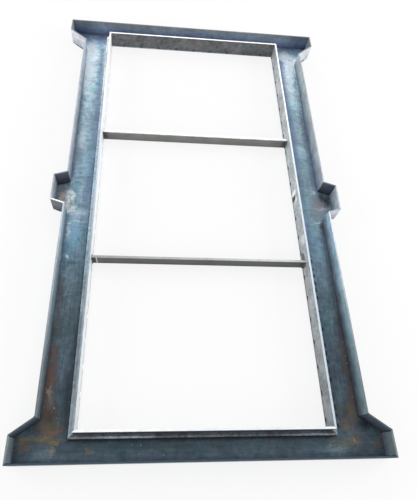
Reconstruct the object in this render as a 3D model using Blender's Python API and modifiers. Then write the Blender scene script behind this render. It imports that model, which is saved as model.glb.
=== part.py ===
"""Open-top welded steel mould that casts a precast concrete door frame.

The mould lies flat with its open side up, and every piece is a flat plate or a bar. X runs across
the frame, +Y from the sill to the head, and +Z up. The origin is at the middle of the underside.
Lengths are in metres.
"""

import math

import bmesh
import bpy
from mathutils import Matrix, Vector

# Overall sizes of the mould
OVERALL_LENGTH = 2.134
OVERALL_HEIGHT = 0.085
LEG_SPAN = 1.156

# Widths of the channel, from the outer face of its outer wall to the channel face of its inner wall
LEG_CHANNEL = 0.125
HEAD_CHANNEL = 0.078
SILL_CHANNEL = 0.094

# Horns: the head and the sill run on past the legs
HORN_REACH = 0.077
HEAD_HORN_END = 0.079
HEAD_HORN_SLANT = 0.064
SILL_HORN_END = 0.090
SILL_HORN_SLANT = 0.055

# Lug pockets at mid-height of the legs, narrower at the tip
LUG_REACH = 0.055
LUG_TIP_WIDTH = 0.127
LUG_SIDE_RUN = 0.018
LUG_FROM_SILL = 1.0595
LUG_FLOOR_MARGIN = 0.028

# Plate thicknesses
FLOOR_PLATE = 0.005
OUTER_WALL_PLATE = 0.006
INNER_WALL_PLATE = 0.008

# Rebate strip: it casts the rebate for a 35 mm door leaf, and tapers so that the concrete lets go
REBATE_HEIGHT = 0.035
REBATE_FOOT_WIDTH = 0.018
REBATE_TOP_WIDTH = 0.0165

# Cross-bars on edge across the opening, each placed by its face towards the sill
CROSS_BAR_HEIGHT = 0.055
CROSS_BAR_PLATE = 0.010
LOWER_BAR_FROM_SILL = 0.744
UPPER_BAR_FROM_SILL = 1.398

# Fits: root gap of a welded joint, and the arris taken off each cut edge
JOINT_GAP = 0.0003
ARRIS = 0.0008

# Places that follow from the sizes
HEAD_Y = OVERALL_LENGTH / 2
SILL_Y = -HEAD_Y
LEG_X = LEG_SPAN / 2
CHANNEL_X = LEG_X - LEG_CHANNEL
OPENING_X = CHANNEL_X - INNER_WALL_PLATE
HORN_X = LEG_X + HORN_REACH
LUG_X = LEG_X + LUG_REACH
HEAD_CHANNEL_Y = HEAD_Y - HEAD_CHANNEL
HEAD_OPENING_Y = HEAD_CHANNEL_Y - INNER_WALL_PLATE
SILL_CHANNEL_Y = SILL_Y + SILL_CHANNEL
SILL_OPENING_Y = SILL_CHANNEL_Y + INNER_WALL_PLATE
HEAD_HORN_Y = HEAD_Y - HEAD_HORN_END
HEAD_SLANT_Y = HEAD_HORN_Y - HEAD_HORN_SLANT
SILL_HORN_Y = SILL_Y + SILL_HORN_END
SILL_SLANT_Y = SILL_HORN_Y + SILL_HORN_SLANT
LUG_Y = SILL_Y + LUG_FROM_SILL
LUG_TIP_HALF = LUG_TIP_WIDTH / 2
LUG_ROOT_HALF = LUG_TIP_HALF + LUG_SIDE_RUN
LUG_FLOOR_HALF = LUG_ROOT_HALF + LUG_FLOOR_MARGIN
WALL_FOOT_Z = FLOOR_PLATE + JOINT_GAP
REBATE_TOP_Z = WALL_FOOT_Z + REBATE_HEIGHT

SIDES = (("left", -1), ("right", 1))


def clear_scene():
    """Remove every object that the scene starts with."""
    for thing in list(bpy.data.objects):
        bpy.data.objects.remove(thing, do_unlink=True)


def new_collection(name):
    """Return a new collection linked to the scene."""
    collection = bpy.data.collections.new(name)
    bpy.context.scene.collection.children.link(collection)
    return collection


def steel(name, color, roughness, metallic):
    """Return a new steel material with one colour."""
    material = bpy.data.materials.new(name)
    material.use_nodes = True
    shader = material.node_tree.nodes["Principled BSDF"]
    shader.inputs["Base Color"].default_value = (*color, 1.0)
    shader.inputs["Roughness"].default_value = roughness
    shader.inputs["Metallic"].default_value = metallic
    return material


def floor_steel(name):
    """Blue-grey mill scale of the channel's floor."""
    return steel(name, color=(0.13, 0.21, 0.26), roughness=0.45, metallic=0.6)


def outer_wall_steel(name):
    """Grey-blue steel of the outer walls."""
    return steel(name, color=(0.33, 0.38, 0.44), roughness=0.5, metallic=0.6)


def inner_wall_steel(name):
    """Pale rubbed steel of the inner walls."""
    return steel(name, color=(0.42, 0.43, 0.45), roughness=0.45, metallic=0.7)


def rebate_steel(name):
    """Brown-grey steel of the rebate strips."""
    return steel(name, color=(0.24, 0.21, 0.2), roughness=0.6, metallic=0.5)


def cross_bar_steel(name):
    """Dark grey steel of the cross-bars."""
    return steel(name, color=(0.12, 0.125, 0.13), roughness=0.55, metallic=0.6)


def extruded_outline(outline, thickness):
    """Return a mesh of a flat outline given a thickness, half to each side of its own plane."""
    curve = bpy.data.curves.new("outline", "CURVE")
    curve.dimensions = "2D"
    curve.fill_mode = "BOTH"
    curve.extrude = thickness / 2
    spline = curve.splines.new("POLY")
    spline.points.add(len(outline) - 1)
    for point, (x, y) in zip(spline.points, outline):
        point.co = (x, y, 0.0, 1.0)
    spline.use_cyclic_u = True

    guide = bpy.data.objects.new("outline", curve)
    bpy.context.scene.collection.objects.link(guide)
    evaluated = guide.evaluated_get(bpy.context.evaluated_depsgraph_get())
    mesh = bpy.data.meshes.new_from_object(evaluated)
    bpy.data.objects.remove(guide, do_unlink=True)
    bpy.data.curves.remove(curve)
    return mesh


def welded(mesh):
    """Return a bmesh of the mesh with its loose caps joined to its sides."""
    work = bmesh.new()
    work.from_mesh(mesh)
    bmesh.ops.remove_doubles(work, verts=work.verts, dist=JOINT_GAP / 10)
    return work


def saw(work, point, normal):
    """Cut away what lies beyond the plane, on the side that its normal points to, and close the cut."""
    everything = work.verts[:] + work.edges[:] + work.faces[:]
    bmesh.ops.bisect_plane(work, geom=everything, plane_co=point, plane_no=normal, clear_outer=True)
    rim = [edge for edge in work.edges if edge.is_boundary]
    bmesh.ops.holes_fill(work, edges=rim, sides=0)


def finished(name, work, mesh, parent, material):
    """Write the bmesh back and return its object, with the arris taken off its sharp edges."""
    bmesh.ops.dissolve_limit(work, angle_limit=math.radians(1), verts=work.verts, edges=work.edges)
    bmesh.ops.recalc_face_normals(work, faces=work.faces)
    work.to_mesh(mesh)
    work.free()
    mesh.name = name
    mesh.materials.append(material)
    piece = bpy.data.objects.new(name, mesh)
    parent.users_collection[0].objects.link(piece)
    piece.parent = parent

    arris = piece.modifiers.new("arris", "BEVEL")
    arris.width = ARRIS
    arris.segments = 1
    arris.limit_method = "ANGLE"
    arris.angle_limit = math.radians(20)
    return piece


def floor_plate(name, outline, parent):
    """Lay one flat plate of the floor, cut to an outline in X and Y."""
    middle = sum((Vector(point) for point in outline), Vector((0.0, 0.0))) / len(outline)
    local = [Vector(point) - middle for point in outline]
    mesh = extruded_outline(local, FLOOR_PLATE)
    plate = finished(name, welded(mesh), mesh, parent, floor_steel(name))
    plate.location = (middle.x, middle.y, FLOOR_PLATE / 2)
    return plate


def bar(name, section, start, end, start_cut, end_cut, parent, material):
    """Set up a straight bar or a plate on edge, and saw both its ends.

    section gives points (across, up), with across measured to the left of the way from start to end.
    Each cut is a plane's point and its normal, which points away from the bar.
    """
    way = end - start
    heading = math.atan2(way.y, way.x)
    widest = max(across for across, up in section)
    mesh = extruded_outline(section, way.length + 4 * widest)
    along_across_up = Matrix(((0, 0, 1, 0), (1, 0, 0, 0), (0, 1, 0, 0), (0, 0, 0, 1)))
    mesh.transform(along_across_up)

    middle = (start + end) / 2
    to_local = Matrix.Rotation(-heading, 2)
    work = welded(mesh)
    for point, normal in (start_cut, end_cut):
        saw(work, (to_local @ (point - middle)).to_3d(), (to_local @ normal).to_3d())

    piece = finished(name, work, mesh, parent, material)
    piece.location = (middle.x, middle.y, 0.0)
    piece.rotation_euler = (0.0, 0.0, heading)
    return piece


def mitred_ring(names, corners, section, parent, material_of):
    """Set up a closed ring of bars that meet on the bisector of each corner.

    names[i] is the bar from corners[i] to the next corner. The section lies to the left of the way
    round, and each mitre keeps half the joint gap to its plane.
    """
    count = len(corners)
    ways = [(corners[(i + 1) % count] - corners[i]).normalized() for i in range(count)]
    for i, name in enumerate(names):
        start = corners[i]
        end = corners[(i + 1) % count]
        start_normal = -(ways[i - 1] + ways[i]).normalized()
        end_normal = (ways[i] + ways[(i + 1) % count]).normalized()
        start_cut = (start - start_normal * JOINT_GAP / 2, start_normal)
        end_cut = (end - end_normal * JOINT_GAP / 2, end_normal)
        bar(name, section, start, end, start_cut, end_cut, parent, material_of(name))


def upright(thickness, foot, top):
    """Return the section of a plate on edge between two heights."""
    return [(0.0, foot), (thickness, foot), (thickness, top), (0.0, top)]


def side_outline(side):
    """Return the outer faces' corners of one side, from the head to the sill, each with its plate."""
    return [
        ("horn_end_head", Vector((side * HORN_X, HEAD_Y))),
        ("horn_slant_head", Vector((side * HORN_X, HEAD_HORN_Y))),
        ("leg_outer_wall_upper", Vector((side * LEG_X, HEAD_SLANT_Y))),
        ("lug_side_upper", Vector((side * LEG_X, LUG_Y + LUG_ROOT_HALF))),
        ("lug_tip", Vector((side * LUG_X, LUG_Y + LUG_TIP_HALF))),
        ("lug_side_lower", Vector((side * LUG_X, LUG_Y - LUG_TIP_HALF))),
        ("leg_outer_wall_lower", Vector((side * LEG_X, LUG_Y - LUG_ROOT_HALF))),
        ("horn_slant_sill", Vector((side * LEG_X, SILL_SLANT_Y))),
        ("horn_end_sill", Vector((side * HORN_X, SILL_HORN_Y))),
        ("sill_outer_wall", Vector((side * HORN_X, SILL_Y))),
    ]


def add_outer_walls(parent):
    """Stand the outer walls on the floor's edge, in one mitred ring with its horns and lugs."""
    left = side_outline(-1)
    right = side_outline(1)
    names = [plate + "_left" for plate, corner in left[:-1]] + ["sill_outer_wall"]
    names += [plate + "_right" for plate, corner in reversed(right[:-1])] + ["head_outer_wall"]
    corners = [corner for plate, corner in left] + [corner for plate, corner in reversed(right)]
    section = upright(OUTER_WALL_PLATE, WALL_FOOT_Z, OVERALL_HEIGHT)
    mitred_ring(names, corners, section, parent, outer_wall_steel)


def opening_ring(x, head_y, sill_y):
    """Return the corners of a rectangle round the opening, with the channel on the left of the way."""
    return [Vector((-x, sill_y)), Vector((-x, head_y)), Vector((x, head_y)), Vector((x, sill_y))]


def add_inner_walls(parent):
    """Stand the four inner walls round the opening, flush with the floor's inner edge."""
    names = ["leg_inner_wall_left", "head_inner_wall", "leg_inner_wall_right", "sill_inner_wall"]
    corners = opening_ring(OPENING_X, HEAD_OPENING_Y, SILL_OPENING_Y)
    section = upright(INNER_WALL_PLATE, WALL_FOOT_Z, OVERALL_HEIGHT)
    mitred_ring(names, corners, section, parent, inner_wall_steel)


def add_rebate_strips(parent):
    """Lay the four rebate strips along the inner walls' feet, inside the channel."""
    names = ["leg_rebate_strip_left", "head_rebate_strip", "leg_rebate_strip_right", "sill_rebate_strip"]
    corners = opening_ring(CHANNEL_X + JOINT_GAP, HEAD_CHANNEL_Y + JOINT_GAP, SILL_CHANNEL_Y - JOINT_GAP)
    section = [
        (0.0, WALL_FOOT_Z),
        (REBATE_FOOT_WIDTH, WALL_FOOT_Z),
        (REBATE_TOP_WIDTH, REBATE_TOP_Z),
        (0.0, REBATE_TOP_Z),
    ]
    mitred_ring(names, corners, section, parent, rebate_steel)


def add_cross_bar(name, from_sill, parent):
    """Set one flat bar on edge between the two long inner walls."""
    reach = OPENING_X - JOINT_GAP
    start = Vector((-reach, SILL_Y + from_sill))
    end = Vector((reach, SILL_Y + from_sill))
    outwards = Vector((1.0, 0.0))
    section = upright(CROSS_BAR_PLATE, 0.0, CROSS_BAR_HEIGHT)
    bar(name, section, start, end, (start, -outwards), (end, outwards), parent, cross_bar_steel(name))


def add_end_floor(name, outer_y, inner_y, parent):
    """Lay the floor of the head or the sill between its two corner plates."""
    x = OPENING_X - JOINT_GAP / 2
    floor_plate(name, [(-x, inner_y), (x, inner_y), (x, outer_y), (-x, outer_y)], parent)


def add_corner_floor(name, side, end_y, horn_y, slant_y, parent):
    """Lay the floor of one corner, with its horn and the slant back to the leg."""
    seam_x = OPENING_X + JOINT_GAP / 2
    seam_y = slant_y - math.copysign(JOINT_GAP / 2, slant_y - end_y)
    outline = [
        (side * seam_x, end_y),
        (side * HORN_X, end_y),
        (side * HORN_X, horn_y),
        (side * LEG_X, seam_y),
        (side * seam_x, seam_y),
    ]
    floor_plate(name, outline, parent)


def add_leg_floor(name, side, low_y, high_y, parent):
    """Lay one straight stretch of a leg's floor between two joints."""
    low = low_y + JOINT_GAP / 2
    high = high_y - JOINT_GAP / 2
    outline = [(side * OPENING_X, low), (side * LEG_X, low), (side * LEG_X, high), (side * OPENING_X, high)]
    floor_plate(name, outline, parent)


def add_lug_floor(name, side, parent):
    """Lay the floor plate that takes in the lug pocket."""
    half = LUG_FLOOR_HALF - JOINT_GAP / 2
    outline = [
        (side * OPENING_X, LUG_Y - half),
        (side * LEG_X, LUG_Y - half),
        (side * LEG_X, LUG_Y - LUG_ROOT_HALF),
        (side * LUG_X, LUG_Y - LUG_TIP_HALF),
        (side * LUG_X, LUG_Y + LUG_TIP_HALF),
        (side * LEG_X, LUG_Y + LUG_ROOT_HALF),
        (side * LEG_X, LUG_Y + half),
        (side * OPENING_X, LUG_Y + half),
    ]
    floor_plate(name, outline, parent)


def add_floor(parent):
    """Lay all the plates of the channel's floor."""
    add_end_floor("head_floor", HEAD_Y, HEAD_OPENING_Y, parent)
    add_end_floor("sill_floor", SILL_Y, SILL_OPENING_Y, parent)
    lug_low_y = LUG_Y - LUG_FLOOR_HALF
    lug_high_y = LUG_Y + LUG_FLOOR_HALF
    for word, side in SIDES:
        add_corner_floor("head_corner_floor_" + word, side, HEAD_Y, HEAD_HORN_Y, HEAD_SLANT_Y, parent)
        add_corner_floor("sill_corner_floor_" + word, side, SILL_Y, SILL_HORN_Y, SILL_SLANT_Y, parent)
        add_leg_floor("leg_floor_upper_" + word, side, lug_high_y, HEAD_SLANT_Y, parent)
        add_leg_floor("leg_floor_lower_" + word, side, SILL_SLANT_Y, lug_low_y, parent)
        add_lug_floor("lug_floor_" + word, side, parent)


def main():
    """Build the whole mould under one empty at the middle of its underside."""
    clear_scene()
    collection = new_collection("door_frame_mould")
    middle = bpy.data.objects.new("mould_middle", None)
    collection.objects.link(middle)

    add_floor(middle)
    add_outer_walls(middle)
    add_inner_walls(middle)
    add_rebate_strips(middle)
    add_cross_bar("cross_bar_lower", LOWER_BAR_FROM_SILL, middle)
    add_cross_bar("cross_bar_upper", UPPER_BAR_FROM_SILL, middle)


main()
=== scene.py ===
"""Dressed scene of an open-topped welded steel mould that casts a door frame.

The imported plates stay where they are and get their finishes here. The weld beads and the
cement that clings to the plates are new pieces. Lengths are in metres, in the part's own
frame: +Y runs from the sill to the head and +Z out of the open side.
"""
from __future__ import annotations

import logging
import math
from dataclasses import dataclass
from enum import Enum
from functools import reduce

import bpy
import numpy as np
from mathutils import Matrix, Vector


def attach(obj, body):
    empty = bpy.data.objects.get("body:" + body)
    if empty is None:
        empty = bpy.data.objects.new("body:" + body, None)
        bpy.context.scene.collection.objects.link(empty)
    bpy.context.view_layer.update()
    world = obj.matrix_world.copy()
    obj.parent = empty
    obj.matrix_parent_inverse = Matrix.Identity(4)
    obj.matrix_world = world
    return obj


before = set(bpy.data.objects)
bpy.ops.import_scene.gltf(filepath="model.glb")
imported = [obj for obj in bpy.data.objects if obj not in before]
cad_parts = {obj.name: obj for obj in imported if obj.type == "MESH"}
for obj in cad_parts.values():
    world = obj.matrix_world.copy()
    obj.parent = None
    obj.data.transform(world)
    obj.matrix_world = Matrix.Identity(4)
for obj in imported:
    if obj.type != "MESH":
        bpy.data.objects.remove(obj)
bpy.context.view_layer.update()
BODY = "root"

HALF_LENGTH = 1.067
WALL_HEIGHT = 0.085
OUTER_PLATE = 0.006
FLOOR_TOP = 0.005
OPENING_X = 0.445
INNER_WALL_X = 0.453
LEG_X = 0.578
LUG_MIDDLE_Y = -0.0075
SIDES = ("left", "right")

log = logging.getLogger("door_frame_mould")

Colour = tuple[float, float, float, float]
Stops = tuple[tuple[float, Colour], ...]


def tone(red: float, green: float, blue: float) -> Colour:
    """Turns a screen colour into the linear colour that a shader takes.

    Args:
        red: Red from 0 to 255.
        green: Green from 0 to 255.
        blue: Blue from 0 to 255.

    Returns:
        The linear colour with full alpha.
    """
    shares = [value / 255.0 for value in (red, green, blue)]
    linear = [s / 12.92 if s <= 0.04045 else ((s + 0.055) / 1.055) ** 2.4 for s in shares]
    return linear[0], linear[1], linear[2], 1.0


def stops(*rows: tuple[float, float, float, float]) -> Stops:
    """Makes a ramp's stops out of rows of place from 0 to 1, red, green and blue."""
    return tuple((place, tone(*colour)) for place, *colour in rows)


class NodeBoard:
    """The node tree of one material or world, and the one call that adds to it."""

    def __init__(self, tree: bpy.types.NodeTree) -> None:
        """Clears the tree.

        Args:
            tree: The node tree to fill.
        """
        self.tree = tree
        tree.nodes.clear()

    def node(
        self, kind: str, settings: dict | None = None, inputs: dict | None = None
    ) -> bpy.types.Node:
        """Adds a node, gives it its settings, and then the values or links of its sockets.

        Args:
            kind: The node's type.
            settings: Its settings by name; "stops" fills a colour ramp.
            inputs: A number, tuple or wire for each socket, by name or number.

        Returns:
            The new node.
        """
        made = self.tree.nodes.new(kind)
        for name, value in (settings or {}).items():
            if name == "stops":
                self._fill_ramp(made.color_ramp, value)
            else:
                setattr(made, name, value)
        for name, value in (inputs or {}).items():
            if isinstance(value, Wire):
                self.tree.links.new(value.socket, made.inputs[name])
            else:
                made.inputs[name].default_value = value
        return made

    @staticmethod
    def _fill_ramp(ramp: bpy.types.ColorRamp, tones: Stops) -> None:
        """Puts the stops into a colour ramp.

        Args:
            ramp: The ramp, which starts with two stops.
            tones: Place from 0 to 1 and colour of each stop, in rising order.
        """
        while len(ramp.elements) < len(tones):
            ramp.elements.new(1.0)
        for element, (place, colour) in zip(ramp.elements, tones):
            element.position = place
            element.color = colour

    def vector_math(self, operation: str, *inputs: Wire | tuple[float, ...]) -> Wire:
        """Adds one Vector Math node over vectors, and gives its vector."""
        made = self.node("ShaderNodeVectorMath", {"operation": operation}, dict(enumerate(inputs)))
        return Wire(self, made.outputs[0])

    def mix(self, share: Value | float, below: Tint | Colour, above: Tint | Colour) -> Tint:
        """Mixes two colours: the share from 0 to 1 is how much of the one above shows."""
        made = self.node("ShaderNodeMix", {"data_type": "RGBA"}, {0: share, 6: below, 7: above})
        return Tint(self, made.outputs[2])

    def place(self) -> Place:
        """Gives the point on the surface in the part's frame."""
        return Place(self, self.node("ShaderNodeTexCoord").outputs["Object"])

    def normal(self) -> Place:
        """Gives the direction that the surface faces."""
        return Place(self, self.node("ShaderNodeNewGeometry").outputs["Normal"])

    def cloud(self, place: Place, scale: float, detail: float = 4.0, rough: float = 0.55) -> Value:
        """Gives soft irregular noise.

        Args:
            place: Where the noise is read.
            scale: Cells to the metre.
            detail: Octaves.
            rough: Share of each further octave.

        Returns:
            Noise of about 0.25 to 0.75.
        """
        inputs = {"Vector": place, "Scale": scale, "Detail": detail, "Roughness": rough}
        return Value(self, self.node("ShaderNodeTexNoise", None, inputs).outputs["Fac"])

    def blotches(self, place: Place, scale: float, finer: Value, start: float = 0.38) -> Value:
        """Gives broad blotches that a finer noise roughens.

        Args:
            place: Where the noise is read.
            scale: Blotches to the metre.
            finer: The finer noise.
            start: Noise at which a blotch begins. It is full as far above the middle.

        Returns:
            A share from 0 to 1.
        """
        return (self.cloud(place, scale, 6.0, 0.62) * 0.5 + finer * 0.5).rise(start, 1.0 - start)

    def cells(self, place: Place, scale: float) -> Value:
        """Gives the distance to the nearest of many scattered points, in cells."""
        made = self.node("ShaderNodeTexVoronoi", None, {"Vector": place, "Scale": scale})
        return Value(self, made.outputs["Distance"])

    def ramp(self, share: Value, tones: Stops) -> Tint:
        """Gives the colour of a ramp at a share from 0 to 1."""
        made = self.node("ShaderNodeValToRGB", {"stops": tones}, {"Fac": share})
        return Tint(self, made.outputs["Color"])

    def flat(self, colour: Colour) -> Tint:
        """Gives one colour as a tint that others are laid over."""
        return self.mix(0.0, colour, colour)


@dataclass(frozen=True)
class Wire:
    """The output socket of a node, on its board."""

    board: NodeBoard
    socket: bpy.types.NodeSocket


@dataclass(frozen=True)
class Value(Wire):
    """A number that varies over the surface, for use in plain expressions."""

    def _math(self, operation: str, first: Value | float, second: Value | float = 0.0) -> Value:
        """Adds one Math node.

        Args:
            operation: The node's operation.
            first: Its first number.
            second: Its second number.

        Returns:
            The result.
        """
        made = self.board.node("ShaderNodeMath", {"operation": operation}, {0: first, 1: second})
        return Value(self.board, made.outputs[0])

    def __add__(self, other: Value | float) -> Value:
        """Sum."""
        return self._math("ADD", self, other)

    __radd__ = __add__

    def __sub__(self, other: Value | float) -> Value:
        """Difference."""
        return self._math("SUBTRACT", self, other)

    def __rsub__(self, other: float) -> Value:
        """Difference with the number first."""
        return self._math("SUBTRACT", other, self)

    def __mul__(self, other: Value | float) -> Value:
        """Product."""
        return self._math("MULTIPLY", self, other)

    __rmul__ = __mul__

    def __abs__(self) -> Value:
        """Size without the sign."""
        return self._math("ABSOLUTE", self)

    def at_least(self, other: Value | float) -> Value:
        """The larger of the two."""
        return self._math("MAXIMUM", self, other)

    def at_most(self, other: Value | float) -> Value:
        """The smaller of the two."""
        return self._math("MINIMUM", self, other)

    def from_nearest(self, pitch: float) -> Value:
        """The distance to the nearest whole number of pitches."""
        return self._math("PINGPONG", self, pitch / 2)

    def rise(self, start: float, end: float) -> Value:
        """Gives a smooth step from 0 at one value to 1 at another.

        Args:
            start: Value at which the step starts.
            end: Value at which it ends, which may be the smaller one.

        Returns:
            A share from 0 to 1.
        """
        inputs = {"Value": self, "From Min": min(start, end), "From Max": max(start, end)}
        made = self.board.node("ShaderNodeMapRange", {"interpolation_type": "SMOOTHSTEP"}, inputs)
        step = Value(self.board, made.outputs["Result"])
        return step if start < end else 1.0 - step


@dataclass(frozen=True)
class Tint(Wire):
    """A colour that varies over the surface."""

    def under(self, colour: Tint | Colour, share: Value | float) -> Tint:
        """Lays another colour over this one.

        Args:
            colour: The colour on top.
            share: How much of it shows, from 0 to 1.

        Returns:
            The mixed colour.
        """
        return self.board.mix(share, self, colour)

    def tinted(self, colour: Colour) -> Tint:
        """Filters the colour through another."""
        return Tint(self.board, self.board.vector_math("MULTIPLY", self, colour[:3]).socket)

    def times(self, factor: Value | float) -> Tint:
        """Makes the colour lighter or darker by a factor."""
        inputs = {0: self, "Scale": factor}
        made = self.board.node("ShaderNodeVectorMath", {"operation": "SCALE"}, inputs)
        return Tint(self.board, made.outputs[0])


@dataclass(frozen=True)
class Place(Wire):
    """A point that varies over the surface."""

    def part(self, axis: str) -> Value:
        """The coordinate along X, Y or Z."""
        made = self.board.node("ShaderNodeSeparateXYZ", None, {0: self})
        return Value(self.board, made.outputs[axis])

    def share(self, axis: str, half: float = HALF_LENGTH) -> Value:
        """Gives how far along an axis the point is: 0 at minus the half length, 1 at plus it."""
        return (self.part(axis) + half) * (0.5 / half)

    def stretched(self, x: float, y: float, z: float) -> Place:
        """The point with each coordinate scaled, which draws a pattern out along the smallest."""
        return Place(self.board, self.board.vector_math("MULTIPLY", self, (x, y, z)).socket)

    def shaken(self, scale: float, reach: float) -> Place:
        """Gives the point pushed about by noise, so that what is drawn there has a ragged edge.

        Args:
            scale: Cells of noise to the metre.
            reach: How far a point may move.

        Returns:
            The pushed point.
        """
        inputs = {"Vector": self, "Scale": scale, "Detail": 5.0}
        noise = self.board.node("ShaderNodeTexNoise", None, inputs).outputs["Color"]
        spread, pull = (reach,) * 3, (-reach / 2,) * 3
        shift = self.board.vector_math("MULTIPLY_ADD", Wire(self.board, noise), spread, pull)
        return Place(self.board, self.board.vector_math("ADD", self, shift).socket)

    def oval(self, x: float, y: float, half_x: float, half_y: float) -> Value:
        """Gives how far inside an upright oval column the point is.

        Args:
            x: Middle of the oval across the frame.
            y: Middle of the oval along the frame.
            half_x: Half width.
            half_y: Half length.

        Returns:
            1 at the middle, 0 at the rim and below 0 outside.
        """
        scales = (1 / half_x, 1 / half_y, 0.0)
        shift = (-x / half_x, -y / half_y, 0.0)
        near = self.board.vector_math("MULTIPLY_ADD", self, scales, shift)
        size = self.board.node("ShaderNodeVectorMath", {"operation": "LENGTH"}, {0: near})
        return 1.0 - Value(self.board, size.outputs["Value"])

    def beyond(self, x: float, y_head: float, y_sill: float) -> Value:
        """Gives how far outside an upright rectangular column the point is.

        Args:
            x: The column's sides across the frame, at plus and minus this.
            y_head: Its side towards the head.
            y_sill: Its side towards the sill.

        Returns:
            The distance in metres, below 0 inside.
        """
        past_ends = (self.part("Y") - y_head).at_least(y_sill - self.part("Y"))
        return (abs(self.part("X")) - x).at_least(past_ends)


class Stain(Enum):
    """What lies on or shows through the mill scale of the floor plates, with its colour, and the
    painted shade that is laid the same way.
    """

    TEAL_SCALE = tone(138, 184, 208)
    RED_SCALE = tone(98, 84, 84)
    RUST = tone(138, 104, 78)
    OCHRE = tone(138, 126, 88)
    BROWN_SCALE = tone(60, 54, 46)
    GREY_SCALE = tone(144, 144, 152)
    BLUE_SCALE = tone(118, 138, 152)
    # Painted shade in corners, beside the walls and in line with the lower cross bar.
    PAINTED_SHADE = tone(30, 42, 52)
    PINK_GREY = tone(196, 178, 174)
    TAN = tone(188, 172, 142)
    CHALK = tone(238, 249, 255)


@dataclass(frozen=True)
class Patch:
    """One stained place, or one place of painted shade, on the floor plates, as an oval in the part's
    frame in millimetres.
    """

    x: float
    y: float
    half_x: float
    half_y: float
    strength: float

    def mask(self, place: Place, grit: Value) -> Value:
        """Gives how much of the stain shows.

        Args:
            place: The pushed point that gives the patch its ragged edge.
            grit: Fine noise that breaks the patch up.

        Returns:
            The share, up to the patch's strength.
        """
        sizes = (mm / 1000 for mm in (self.x, self.y, self.half_x, self.half_y))
        return (place.oval(*sizes) + grit).rise(-0.05, 1.05) * self.strength


def patches(*rows: tuple[float, float, float, float, float]) -> tuple[Patch, ...]:
    """Makes patches out of rows of middle x and y, half width, half length and strength."""
    return tuple(Patch(*row) for row in rows)


def stained(base: Tint, place: Place, grit: Value) -> tuple[Tint, Value, Value]:
    """Lays the floor's ragged patches of stain and painted shade over a colour, one after another.

    Args:
        base: The clean colour.
        place: The pushed point that gives the patches their ragged edges.
        grit: Fine noise that breaks the patches up.

    Returns:
        The stained colour, the share of rust and the share of chalk.
    """
    colour = base
    shares: dict[Stain, Value] = {}
    for stain, places in FLOOR_PATCHES.items():
        noise = grit * (0.45 if stain in SOFT_STAINS else 1.0)
        masks = [patch.mask(place, noise) for patch in places]
        shares[stain] = reduce(Value.at_least, masks)
        colour = colour.under(stain.value, shares[stain])
    rust = shares[Stain.RUST].at_least(shares[Stain.OCHRE]).at_least(shares[Stain.RED_SCALE])
    return colour, rust, shares[Stain.CHALK]


@dataclass(frozen=True)
class Finish:
    """A steel surface: the base of all finishes."""

    name: str

    def material(self) -> bpy.types.Material:
        """Makes the material."""
        made = bpy.data.materials.new(self.name)
        made.use_nodes = True
        self.paint(NodeBoard(made.node_tree))
        return made

    def paint(self, board: NodeBoard) -> None:
        """Fills the board. Each finish has its own."""
        raise NotImplementedError

    @staticmethod
    def close(
        board: NodeBoard,
        colour: Tint,
        rough: Value,
        metal: Value | float,
        height: Value,
        depth: float,
    ) -> None:
        """Adds the shader that a finish ends in.

        Args:
            board: The material's board.
            colour: Base colour.
            rough: Roughness.
            metal: Share of bare metal.
            height: Relief from 0 to 1.
            depth: Height of the relief in metres.
        """
        relief = {"Height": height, "Distance": depth, "Strength": 0.8}
        bump = board.node("ShaderNodeBump", None, relief)
        inputs = {
            "Base Color": colour,
            "Roughness": rough,
            "Metallic": metal,
            "Normal": Wire(board, bump.outputs["Normal"]),
        }
        shader = board.node("ShaderNodeBsdfPrincipled", None, inputs)
        surface = Wire(board, shader.outputs["BSDF"])
        board.node("ShaderNodeOutputMaterial", None, {"Surface": surface})


SOFT_STAINS = (Stain.CHALK, Stain.TAN, Stain.GREY_SCALE, Stain.PAINTED_SHADE)
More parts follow.
